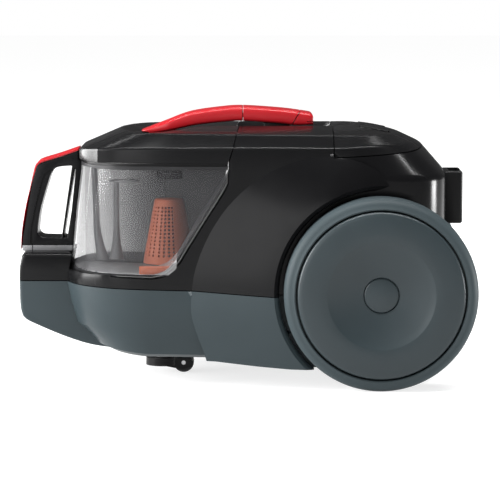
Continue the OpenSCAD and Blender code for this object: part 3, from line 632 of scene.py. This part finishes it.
def build_body():
    """The body shells, split from one form along their parting lines."""
    form = body_form()
    for side in (-1, 1):
        cut(form, fender(side), "UNION")
    push_keys(form)
    # Behind the wheels the fenders end and the sides go flat
    tuck = [(96, 180), (210, 206), (210, 40), (128, 40), (128, 90)]
    for y0, y1 in ((-160, -BODY_HW - 1.2), (BODY_HW + 1.2, 160)):
        cut(form, prism("tuck", tuck, y0, y1))
    nose = block("nose", nose_outline(), 46, 3.0)
    base = copy(form, "base")
    cut(base, copy(nose, "nose_low"), "UNION")
    cut(base, zone(SEAM_LOW + [(240, -20), (-240, -20)]), "INTERSECT")
    for well in wells():
        cut(base, well)
    tub_clear = copy(form, "tub_clear")
    above = SEAM_TOP + [(240, 300), (-240, 300)]
    cut(nose, zone(above), "INTERSECT")
    cut(nose, tub_clear)
    upper = form
    cut(upper, zone(above), "INTERSECT")
    for well in wells():
        cut(upper, well)
    lid_zone = LID_EDGE + [(-240, 262), (-240, LID_Z)]
    cover_zone = COVER_EDGE + [(240, 270)]
    lid = copy(upper, "lid")
    cut(lid, zone(lid_zone), "INTERSECT")
    cover = copy(upper, "cover")
    cut(cover, zone(cover_zone), "INTERSECT")
    # The lid's and the cover's places in the upper shell are larger by the panel gap
    grown_lid = [(x + PANEL_GAP, z) for x, z in LID_EDGE]
    grown_lid[0] = (grown_lid[0][0], LID_Z - PANEL_GAP)
    cut(upper, zone(grown_lid + [(-240, 262), (-240, LID_Z - PANEL_GAP)]))
    cover_front = COVER_EDGE[0][0] - PANEL_GAP
    cut(upper, zone([(cover_front, 270), (cover_front, 218.4 - PANEL_GAP)]
                    + [(x, z - PANEL_GAP) for x, z in COVER_EDGE[2:]] + [(240, 270)]))
    # The bay under and behind the bin
    bay = bin_block("bay", -1.0)
    cut(bay, zone(BAY), "INTERSECT")
    cut(upper, bay)
    cut(upper, zone([(-240, 106.0), (-100, 106.0), (-100, 262), (-240, 262)]))
    for y0, y1 in ((-170, -BODY_HW + 6), (BODY_HW - 6, 170)):
        cut(upper, prism("cutter", BAY, y0, y1))
    for part in (upper, lid, cover):
        cut(part, channel())
    for node in ("power_button", "rewind_button"):
        cut(cover, key_block("key_hole", node, KEY_GAP))
        cut(upper, key_block("key_hole", node, KEY_GAP))
    open_ports(base, nose, upper)
    return base, nose, upper, lid, cover


def tube(name, radius, start, end, axis):
    """A plain solid cylinder from start to end along an axis."""
    length = np.subtract(end, start).sum()
    return lathe(name, [(0, 0), (radius, 0), (radius, length), (0, length)], start, axis=axis, steps=48)


def open_ports(base, nose, upper):
    """Hose socket, bay ports, cord outlet, exhaust opening and screw wells."""
    for part in (base, nose):
        cut(part, tube("hose", 20.8, (-240, 0, 82), (-160, 0, 82), "x"))
    cut(upper, tube("riser", 13.0, (-141, 0, 92), (-141, 0, 112), "z"))
    cut(upper, tube("outlet", 11.0, (-83, 0, 92), (-83, 0, 112), "z"))
    cut(upper, tube("cord", 5.2, (170, -76, 120), (205, -76, 120), "x"))
    low, high = cad("exhaust_door")
    for part in (base, upper):
        cut(part, box("exhaust", (175, low[1] - 0.8, low[2] - 0.8), (210, high[1] + 0.8, high[2] + 0.8)))
    for x, y in SCREW_SPOTS:
        cut(base, tube("screw", 3.7, (x, y, 0), (x, y, 36.2), "z"))


base, nose, upper, lid, cover = build_body()
for part in (base, nose, upper, lid, cover):
    clean(part)
finish(base, "base_shell", "base", SLATE, ["lower_chassis"])
finish(nose, "nose_shell", "base", BLACK, ["nose_cover"])
finish(upper, "upper_shell", "base", BLACK, ["upper_housing"])
finish(lid, "lid_shell", "lid", LID_BLACK, ["bin_lid"])
finish(cover, "cover_shell", "base", LID_BLACK, ["rear_cover"])


# ---- wheels ----

def arc(cx, cz, r, a0, a1, count):
    """Points on an arc, angles in degrees."""
    return [(cx + r * cos(radians(a)), cz + r * sin(radians(a)))
            for a in np.linspace(a0, a1, count)]


def wheel(side, prefix):
    """Tyre, disc and hub cap of one wheel; profiles are (radius, distance from the middle plane)."""
    centre = (AXLE_X, 0, AXLE_Z)
    r = WHEEL_R
    tyre = ([(80.3, WHEEL_IN), (r - 5, WHEEL_IN)] + arc(r - 5, WHEEL_IN + 5, 5, -90, 0, 6)
            + [(r, WHEEL_IN + 20)] + arc(r - 9, 126.5, 9, 0, 78, 14) + arc(81.5, 135.6, 1.2, 80, 180, 5))
    piece = lathe("tyre", tyre, centre, side=side, steps=160)
    finish(piece, prefix + "_tyre_shell", prefix + "_wheel", TYRE_SLATE, [prefix + "_tyre"])
    face = WHEEL_OUT
    outer = [(16.6, face - 8.6), (17.1, face - 8.0), (20, face - 7.6), (28, face - 6.3), (36, face - 4.6),
             (44, face - 2.6), (49.4, face - 1.05), (50.3, face - 0.6), (51.2, face - 0.35),
             (60, face - 0.4), (68, face - 0.9), (74, face - 1.6), (76.6, face - 2.1), (77.8, face - 2.8),
             (78.6, face - 3.8), (78.9, face - 5.0)]
    disc = ([(5.05, WHEEL_IN + 0.5), (12, WHEEL_IN + 0.5), (12, face - 14), (40, face - 11),
             (66, face - 7), (75.6, face - 6), (75.6, WHEEL_IN + 3), (80.5, WHEEL_IN + 3),
             (80.5, face - 14), (78.9, face - 14)] + outer[::-1]
            + [(16.4, face - 10), (5.05, face - 10)])
    piece = lathe("disc", disc, centre, side=side, steps=160)
    finish(piece, prefix + "_disc_shell", prefix + "_wheel", WHEEL_SLATE, [prefix + "_disc"])
    cap = [(0, face - 8.4), (16.0, face - 8.4), (16.0, face - 7.9), (15.4, face - 7.3),
           (14.6, face - 7.1), (0, face - 6.8)]
    piece = lathe("cap", cap, centre, side=side, steps=96)
    finish(piece, prefix + "_cap_shell", prefix + "_wheel", WHEEL_SLATE, [prefix + "_hub_cap"])


for side, prefix in ((-1, "left"), (1, "right")):
    wheel(side, prefix)


# ---- carry handle ----

ARCH_UPPER = [(-100.5, 237.4), (-77, 246.6), (-53, 255.4), (-24, 259.9), (SPLIT_X, ARCH_TOP), (34, 258.9),
              (54, 256.4), (66, 254.4)]
ARCH_LOWER = [(-100.5, 236.8), (-88, 235.8), (-70, 238.2), (-43, 243.4), (-14, 246.4), (SPLIT_X, 246.8),
              (34, 244.4), (50, 242.6), (66, 243.2)]


def arch_body():
    """The whole red arch as one loft along X of rounded sections."""
    upper_line = resample(ARCH_UPPER, 160)
    lower_line = resample(ARCH_LOWER, 160)
    levels = []
    for x in np.concatenate([np.linspace(-100, -92, 6), np.linspace(-90, 63, 60), [64.4, 65.6, 66.2]]):
        top = np.interp(x, upper_line[:, 0], upper_line[:, 1])
        low = np.interp(x, lower_line[:, 0], lower_line[:, 1])
        half = 20.0 * min(1.0, 0.55 + 0.45 * sqrt(max(0.0, min(1.0, (x + 100) / 26))))
        if x > 63:
            top -= 3.0 * ((x - 63) / 3.2) ** 2
            half -= 1.5 * ((x - 63) / 3.2) ** 2
        height = max(top - low, 0.5)
        ring = []
        for t in np.linspace(0, 2 * pi, 48, endpoint=False):
            c, s = cos(t), sin(t)
            power = 0.36 if s > 0 else 0.26
            ring.append((x, half * copysign(abs(c) ** 0.42, c),
                         (top + low) / 2 + height / 2 * copysign(abs(s) ** power, s)))
        levels.append(np.array(ring))
    return loft("arch", levels)


def build_handle():
    """The carry handle: front grip, rear grip, release button, the seal between them and the post."""
    arch = arch_body()
    front = copy(arch, "front")
    cut(front, zone([(-120, 200), (SPLIT_X - 0.4, 200), (SPLIT_X - 0.4, 300), (-120, 300)]), "INTERSECT")
    root = prism("root", [(-94, 232), (-84, 229.8), (-70, 229), (-66, 238), (-72, 241), (-92, 238)],
                 -16, 16)
    cut(front, root, "UNION")
    rear = copy(arch, "rear")
    parting = [(SPLIT_X + 0.4, 200), (16, 200), (44.0, 242), (52.6, 256), (78, 300), (SPLIT_X + 0.4, 300)]
    cut(rear, zone(parting), "INTERSECT")
    post = prism("post", [(20, 226.4), (41, 226.4), (44, 246), (18, 246)], -13, 13)
    bevel(post, 2.0)
    cut(post, copy(rear, "grip"))
    clean(post)
    finish(post, "grip_post", "base", DEEP_BLACK)
    button = arch
    cut(button, zone([(17.0, 200), (45.0, 242), (53.6, 256), (79.0, 300), (90, 300), (90, 200)]),
        "INTERSECT")
    groove = prism("groove", [(60, 246.2), (80, 246.2), (80, 247.0), (60, 247.0)], -40, 40)
    cut(button, groove)
    for part in (front, rear, button):
        clean(part)
    seal = copy(front, "seal")
    x0, x1 = SPLIT_X - 0.9, SPLIT_X - 0.45
    cut(seal, zone([(x0, 200), (x1, 200), (x1, 300), (x0, 300)]), "INTERSECT")
    for vertex in seal.data.vertices:
        vertex.co.x += 0.55 * MM
        vertex.co.y *= 0.985
        vertex.co.z = 0.2538 + (vertex.co.z - 0.2538) * 0.955
    finish(seal, "grip_seal", "lid", DEEP_BLACK)
    finish(front, "front_grip_shell", "lid", RED, ["front_grip"], 35)
    finish(rear, "rear_grip_shell", "base", RED, ["rear_grip"], 35)
    finish(button, "release_button_shell", "release", RED, ["release_button"], 35)


build_handle()


# ---- bin ----

BIN_CUT = [(-240, 106.8), (-157, 106.6), (-137, 105.9), (-108, 104.5), (-88, 103.7), (-80, 104.8),
           (-73, 107.6), (-67.4, 112), (-61.4, 119), (-54, 131.4), (-37.2, 158.4), (-26, 175.8),
           (-18, 189), (-16.4, 193), (-15.6, BIN_TOP_Z), (-240, BIN_TOP_Z)]
WALL = 2.2
INSIDE = [(x - WALL * 0.75 if x > -85 else x, z + WALL) for x, z in BIN_CUT[:-2]]
INSIDE += [(-15.6 - WALL, 240), (-240, 240)]
CONE_X, CONE_TOP = -74.0, 170.6
HOLE_ROWS, HOLE_CORNERS = 14, 10
# Turn in degrees from the near side and radius of the holes in a row
HOLES = [(side * turn, size) for side in (-1, 1)
         for turn, size in ((103, 1.3), (91, 1.3), (79, 1.3), (67, 1.25), (51, 1.15), (37, 1.1),
                            (22, 1.0))]


def shifted(points, dx, dz):
    """An outline moved by (dx, dz)."""
    return [(x + dx, z + dz) for x, z in points]


def bin_shell():
    """The clear shell."""
    glass = bin_block("glass", 0.0)
    cut(glass, zone(BIN_CUT), "INTERSECT")
    hollow = bin_block("hollow", WALL)
    cut(hollow, zone(INSIDE), "INTERSECT")
    cut(glass, hollow)
    clean(glass)
    finish(glass, "bin_glass", "bin", SMOKE, ["dust_bin"], 35)


def bin_rim():
    """Flange under the lid, the seal on it, and a light strip along the cut edge that paints a highlight
    on the clear rim.
    """
    ring = loft("flange", [bin_outline(-0.6, z) for z in (206.4, 207.0, 208.9, 209.5)])
    cut(ring, loft("cutter", [bin_outline(4.4, z) for z in (190, 220)]))
    cut(ring, zone([(-240, 200), (-16.2, 200), (-15.4, 212), (-240, 212)]), "INTERSECT")
    cut(ring, box("rail", (-19.0, -BODY_HW + 2.4, 206.4), (-16.2, BODY_HW - 2.4, 209.5)), "UNION")
    clean(ring)
    finish(ring, "bin_flange", "bin", FLANGE)
    seal = loft("seal", [bin_outline(1.2, z) for z in (209.55, LID_Z + 0.1)])
    cut(seal, loft("cutter", [bin_outline(4.4, z) for z in (190, 220)]))
    cut(seal, zone([(-240, 200), (-17.6, 200), (-17.6, 212), (-240, 212)]), "INTERSECT")
    cut(seal, box("rail", (-19.6, -BODY_HW + 3.9, 209.55), (-16.9, BODY_HW - 3.9, LID_Z + 0.1)), "UNION")
    clean(seal)
    finish(seal, "bin_seal_shell", "bin", DEEP_BLACK, ["bin_seal"])
    # Painted highlight: a thin light strip along the glass's cut edge.
    line = BIN_CUT[1:-2]
    rim_highlight = prism("rim_highlight", shifted(line, -0.5, 0.7) + shifted(line, -0.8, 1.0)[::-1],
                 -BODY_HW + 1.9, BODY_HW - 1.9)
    cut(rim_highlight, box("cutter", (-200, -BODY_HW + 3.2, 90), (0, BODY_HW - 3.2, 230)))
    cut(rim_highlight, zone([(-121, 90), (0, 90), (0, 207), (-121, 207)]), "INTERSECT")
    clean(rim_highlight)
    finish(rim_highlight, "bin_rim_painted_highlight", "bin", RIM_HIGHLIGHT)


def bin_plates():
    """A dark sheet along the middle, more opaque towards the rear as painted shade, a dark sheet over the
    slope, and the floor plate.
    """
    shade_plane = box("shade_plane", (-156, -0.8, 104), (-14, 0.8, 206))
    cut(shade_plane, zone(shifted(INSIDE, -0.5, 0.5)), "INTERSECT")
    clean(shade_plane)
    finish(shade_plane, "bin_shade_paint", "bin", SHADE_PAINT_SHEET)
    slope = [p for p in shifted(BIN_CUT, -2.4, 1.4) if p[0] > -72 and p[1] < 204] + [(-18.3, 205.6)]
    back = prism("back", slope + shifted(slope, -0.9, 0.5)[::-1], -92.2, 92.2)
    finish(back, "bin_back", "bin", BACK)
    plate = bin_block("plate", WALL + 0.5)
    under = [(x - 3.0 if x > -85 else x, z + WALL + 0.3) for x, z in BIN_CUT[:9]]
    cut(plate, zone(under + [(-64.5, 106.2), (-240, 109.5)]), "INTERSECT")
    clean(plate)
    finish(plate, "bin_floor", "bin", PALE)


def cone_holes():
    """Rows of round cutters through the cone's wall."""
    verts, faces = [], []
    corners = range(HOLE_CORNERS)
    for row in range(HOLE_ROWS):
        z = 116.0 + 3.56 * row
        r = np.interp(z, [114.5, CONE_TOP - 2.2], [24.4, 14.4])
        for turn, size in HOLES:
            a = radians(180 + turn)
            u = Vector((cos(a), sin(a), 0))
            w = Vector((-sin(a), cos(a), 0))
            near = len(verts)
            far = near + HOLE_CORNERS
            for depth in (-3.7, 3):
                for k in corners:
                    t = 2 * pi * k / HOLE_CORNERS
                    p = u * (r + depth) + w * size * cos(t) * (0.55 + 0.45 * r / 24)
                    verts.append((CONE_X + p.x, p.y, z + size * sin(t)))
            faces += [tuple(near + k for k in corners), tuple(far + k for k in corners)]
            for k in corners:
                after = (k + 1) % HOLE_CORNERS
                faces.append((near + k, near + after, far + after, far + k))
    return new_object("holes", verts, faces)


def cone_and_tray():
    """The perforated cone with a dark core inside it that paints the shade seen through the holes, on the
    tray.
    """
    profile = [(20.8, 107.5), (25.4, 107.5), (24.4, 114.5), (14.4, CONE_TOP - 2.2),
               (13.6, CONE_TOP - 0.7), (12, CONE_TOP), (0, CONE_TOP + 0.6), (0, CONE_TOP - 1.8),
               (11.4, CONE_TOP - 2.2), (21.2, 114)]
    cone = lathe("cone", profile, (CONE_X, 0, 0), axis="z", steps=96)
    cut(cone, cone_holes())
    cut(cone, zone(shifted(INSIDE, -0.6, 0.2)), "INTERSECT")
    # Painted shade: a dark solid fills the cone so its holes read dark.
    core = lathe("core", [(0, 108), (20.4, 108), (20.4, 114), (11.8, 166), (0, 166)], (CONE_X, 0, 0),
                 axis="z", steps=48)
    cut(core, zone(shifted(INSIDE, -1.2, 0.6)), "INTERSECT")
    clean(core)
    finish(core, "cone_shade_core", "bin", DEEP_BLACK)
    clean(cone)
    finish(cone, "cone_shell", "bin", TERRACOTTA, ["cone_filter"])
    tray = box("tray", (-100, -94, 104), (-50, 94, 114.2))
    cut(tray, box("cutter", (-110, -90.5, 100), (-40, 90.5, 120)))
    cut(tray, zone(shifted(INSIDE, -0.6, 0.3)), "INTERSECT")
    clean(tray)
    bevel(tray, 0.8, 2)
    finish(tray, "cone_tray", "bin", TERRACOTTA)


def bin_tubes():
    """Inlet riser, the slim guide tube with its flared foot, its ring and the lid's port."""
    path = resample([(-147.2, 206.0), (-146.6, 190), (-145.4, 165), (-144.4, 140), (-141.4, 122),
                     (-139, 110.4)], 24)
    levels = []
    for x, z in path:
        half = np.interp(z, [110, 122, 150], [6.5, 4.6, 3.0])
        levels.append(np.array([(x + half * cos(t), 9 * sin(t), z)
                                for t in np.linspace(0, 2 * pi, 24, endpoint=False)]))
    finish(loft("riser", levels), "riser_shell", "bin", FROST)
    guide = lathe("guide", [(0, 187), (2.6, 187), (2.7, 160), (3.0, 140), (4.2, 126), (7.4, 111),
                            (0, 111)], (-125.6, 0, 0), axis="z", steps=48)
    finish(guide, "cyclone_shell", "bin", FROST, ["cyclone_tube"])
    skirt = lathe("skirt", [(13.4, 187), (14.6, 187), (14.6, 188.0), (13.4, 188.0)], (-118, 0, 0),
                  axis="z", steps=64)
    finish(skirt, "guide_skirt", "bin", FROST)
    port = lathe("port", [(10.6, 190), (12.6, 190), (13.2, 190.8), (13.2, 196), (12.6, 196.6),
                          (12.6, LID_Z + 1.5), (10.6, LID_Z + 1.5)], (CONE_X, 0, 0), axis="z", steps=64)
    finish(port, "lid_port", "lid", BLACK)


bin_shell()
bin_rim()
bin_plates()
cone_and_tray()
bin_tubes()


# ---- loop handle on the bin ----

LOOP_OUTER = [(-160.6, 218.8), (-179, 212.4), (-196, 207.2), (-200.6, 204.4), (-202.8, 198.6),
              (-210.6, 169.2), (-215.4, 143), (-216.2, 127)]
LOOP_BACK = [(-216, 120.9), (-167.6, 120.9), (-166.4, 130), (-163.6, 160), (-157, 209.4), (-161.2, 209.6)]
LOOP_INNER = [(-167.4, 204.0), (-178, 203.2), (-183.4, 201.6), (-187, 197.4), (-190.4, 189),
              (-198.4, 161), (-201.2, 141), (-200.6, 136.6), (-197.6, 134.4), (-192, 133.8),
              (-178.6, 133.8), (-177.8, 135.4)]
LOOP_SLOT = [(-165.2, 200.8), (-163.8, 200.8), (-168.2, 160), (-172.0, 137), (-172.6, 134.4),
             (-174.2, 133.4), (-176.2, 134.0), (-175.9, 137), (-171.2, 167)]


def loop_handle():
    """The loop handle with its groove, light grey foot with a painted reflection, hook and red trim."""
    outer = list(resample(LOOP_OUTER, 30)) + LOOP_BACK
    body = prism("loop", outer, -20, 20)
    cut(body, prism("hole", resample(LOOP_INNER, 44), -60, 60))
    cut(body, prism("slot", LOOP_SLOT, -60, 60))
    bevel(body, 0.9, 3, 40)
    cut(body, bin_block("cutter", -0.05))
    track = [(-188.5, 200.6), (-194.2, 196.2), (-197.2, 189), (-204.0, 162), (-208.0, 142), (-208.4, 128)]
    for y0, y1 in ((-30, -18.4), (18.4, 30)):
        cut(body, prism("track", track + shifted(track, 1.7, -0.6)[::-1], y0, y1))
    foot = copy(body, "foot")
    cut(foot, zone([(-240, 100), (-150, 100), (-150, 126.4), (-240, 126.4)]), "INTERSECT")
    cut(body, zone([(-240, 100), (-150, 100), (-150, 127.0), (-240, 127.0)]))
    cut(foot, zone([(-206.6, 90), (-205.8, 90), (-205.8, 140), (-206.6, 140)]))
    clean(body)
    clean(foot)
    finish(body, "loop_handle_shell", "bin", HANDLE_BLACK, ["bin_handle"], 35)
    # The foot's grey holds a painted reflection as well as its own colour.
    finish(foot, "loop_foot", "bin", FOOT_GREY_AND_SHEEN, angle=35)
    hook = prism("hook", [(-175.4, 104.6), (-167.0, 104.6), (-166.2, 113), (-166.6, 117.6),
                          (-169.6, 120.4), (-175.4, 120.4)], -18, 18)
    bevel(hook, 1.0, 2)
    cut(hook, bin_block("cutter", -0.05))
    finish(hook, "loop_hook", "bin", DEEP_BLACK)
    line = resample(LOOP_OUTER[:-1] + [(-217.0, 122.6)], 60)
    normal = np.gradient(line, axis=0)
    normal = np.column_stack([-normal[:, 1], normal[:, 0]])
    normal /= np.linalg.norm(normal, axis=1, keepdims=True)
    if normal[30, 0] > 0:
        normal = -normal
    out = line + normal * np.interp(line[:, 1], [125, 180, 205], [0.8, 1.0, 2.1])[:, None]
    back = line + normal * 0.05
    trim = prism("trim", np.vstack([out, back[::-1]]), -20, 20)
    bevel(trim, 0.5, 2, 60)
    finish(trim, "loop_trim", "bin", RED, ["bin_handle_trim"], 35)


loop_handle()


# ---- small outside pieces ----

def small_pieces():
    """Strip behind the bin, parking block and hose socket."""
    edge = BAY[8:15] + [(-14.4, 211.4)]
    strip = prism("strip", shifted(edge, -0.12, 0.08) + shifted(edge, -0.9, 0.4)[::-1], -88, 88)
    finish(strip, "bay_strip", "base", DEEP_BLACK)
    low, high = cad("park_bracket")
    bracket = box("bracket", (REAR_X - 1.5, low[1], low[2]), high)
    bevel(bracket, 2.4, 4)
    cut(bracket, box("slot", (REAR_X + 4, -17, low[2] + 3), (high[0] - 3, 17, 230)))
    cut(bracket, box("mouth", (REAR_X + 6, -8, 100), (230, 8, 230)))
    finish(bracket, "park_block", "base", DEEP_BLACK, ["park_bracket"])
    low, high = cad("hose_socket")
    r_in, r_out = 18.0, 22.0
    socket = lathe("socket", [(r_in, -low[0]), (r_in + 1.2, -low[0] + 1.4), (r_out - 0.6, -low[0] + 1.4),
                              (r_out, -low[0]), (r_out, -low[0] - 3.6), (20.6, -low[0] - 3.8),
                              (20.6, -high[0]), (r_in, -high[0])],
                   (0, 0, 82), axis="x", side=-1, steps=72)
    finish(socket, "socket_shell", "base", DEEP_BLACK, ["hose_socket"])


small_pieces()


# ---- finishes on the CAD nodes that show as they are ----

NODE_FINISH = {
    DEEP_BLACK: ["filter_housing", "exhaust_door", "power_switch", "motor_mounts", "caster_fork",
                 "reel_brake", "cord_outlet"],
    GREY: ["inlet_duct", "outlet_duct", "motor_fan_case", "motor_impeller", "reel_drum", "latch_rod",
           "caster_bush"],
    STEEL: ["motor_can", "motor_stator", "motor_bearings", "motor_shaft", "exhaust_hinge_pin",
            "power_spring", "rewind_spring", "brake_pivot", "reel_spindle", "reel_spring_case",
            "release_spring", "screws", "left_axle", "right_axle", "caster_axle"],
    BRASS: ["carbon_brushes"],
    COPPER: ["motor_armature"],
    FOAM: ["motor_prefilter"],
    PAPER: ["hepa_filter"],
    BOARD: ["control_board"],
    RUBBER: ["port_gaskets"],
    ROLLER: ["caster_roller"],
}


def dress_nodes():
    """Gives the CAD nodes above their materials."""
    for look, names in NODE_FINISH.items():
        for name in names:
            mesh = nodes[name].data
            mesh.materials.clear()
            mesh.materials.append(look)


dress_nodes()


# ---- studio ----

# Name, place, aim, size and power; places and sizes in metres
LIGHTS = [
    ("key", (-2.4, -0.4, 0.85), (-0.05, 0, 0.12), (1.8, 1.5), 205),
    ("side_soft", (-1.27, -2.05, 0.56), (-0.02, 0, 0.14), (1.0, 1.1), 18),
    ("crease_strip", (0.0, -0.5, 2.2), (0, 0, 0.2), (2.6, 0.07), 110),
    ("deck_strip", (0.0, 1.4, 2.0), (0, 0, 0.2), (2.0, 0.07), 10),
    ("top_soft", (-0.35, -2.1, 0.98), (-0.02, 0, 0.14), (0.8, 0.5), 3.2),
    ("left_panel", (-1.55, 1.35, 0.40), (-0.15, -0.06, 0.15), (0.6, 0.8), 22),
    ("rear_strip", (1.6, -0.05, 0.12), (0.18, -0.08, 0.12), (0.5, 0.24), 30),
]
FLOOR_SIZE = 18000
GLOW_REACH, FLOOR_GLOW = (0.1, 0.9), (0.72, 0.94)


def area_light(name, place, aim, size, power):
    """One soft light, aimed at a point."""
    data = bpy.data.lights.new(name, "AREA")
    data.shape = "RECTANGLE"
    data.size, data.size_y = size
    data.energy = power
    light = bpy.data.objects.new(name, data)
    light.location = place
    light.rotation_euler = (Vector(aim) - Vector(place)).to_track_quat("-Z", "Y").to_euler()
    bpy.context.collection.objects.link(light)


def studio():
    """White backdrop, pale floor that glows round the machine, and the lights."""
    world = bpy.data.worlds.new("world")
    world.use_nodes = True
    tree = world.node_tree
    seen = tree.nodes["Background"]
    seen.inputs["Color"].default_value = (1, 1, 1, 1)
    fill = tree.nodes.new("ShaderNodeBackground")
    fill.inputs["Strength"].default_value = WORLD_FILL
    ray = tree.nodes.new("ShaderNodeLightPath")
    mix = tree.nodes.new("ShaderNodeMixShader")
    tree.links.new(ray.outputs["Is Camera Ray"], mix.inputs["Fac"])
    tree.links.new(fill.outputs["Background"], mix.inputs[1])
    tree.links.new(seen.outputs["Background"], mix.inputs[2])
    tree.links.new(mix.outputs["Shader"], tree.nodes["World Output"].inputs["Surface"])
    bpy.context.scene.world = world
    floor_mat = material("floor", (0.40, 0.40, 0.40), 0.9, grain=40, bump=0.0, tone=0.01, specular=0.0)
    shader = floor_mat.node_tree.nodes["Principled BSDF"]
    shader.inputs["Emission Color"].default_value = (1, 1, 1, 1)
    tree = floor_mat.node_tree
    place = tree.nodes.new("ShaderNodeTexCoord")
    distance = tree.nodes.new("ShaderNodeVectorMath")
    distance.operation = "LENGTH"
    tree.links.new(place.outputs["Object"], distance.inputs[0])
    glow = remap(tree, distance.outputs["Value"], *GLOW_REACH, *FLOOR_GLOW)
    glow.node.interpolation_type = "SMOOTHSTEP"
    tree.links.new(glow, shader.inputs["Emission Strength"])
    reach = FLOOR_SIZE / 2
    corners = [(-reach, -reach, 0), (reach, -reach, 0), (reach, reach, 0), (-reach, reach, 0)]
    floor = new_object("floor", corners, [(0, 1, 2, 3)])
    floor.data.materials.append(floor_mat)
    for light in LIGHTS:
        area_light(*light)


CAMERA_PLACE = (0.005, -2.8, 0.43148)
CAMERA_TILT = 6.357
LENS = 207.24


def camera():
    """A long lens, almost level with the machine."""
    data = bpy.data.cameras.new("camera")
    data.lens = LENS
    data.sensor_width = 36
    data.clip_end = 50
    cam = bpy.data.objects.new("camera", data)
    cam.location = CAMERA_PLACE
    cam.rotation_euler = (radians(90 - CAMERA_TILT), 0, 0)
    bpy.context.collection.objects.link(cam)
    bpy.context.scene.camera = cam


studio()
camera()
bpy.context.scene.view_settings.view_transform = "Standard"
bpy.context.scene.view_settings.look = "None"
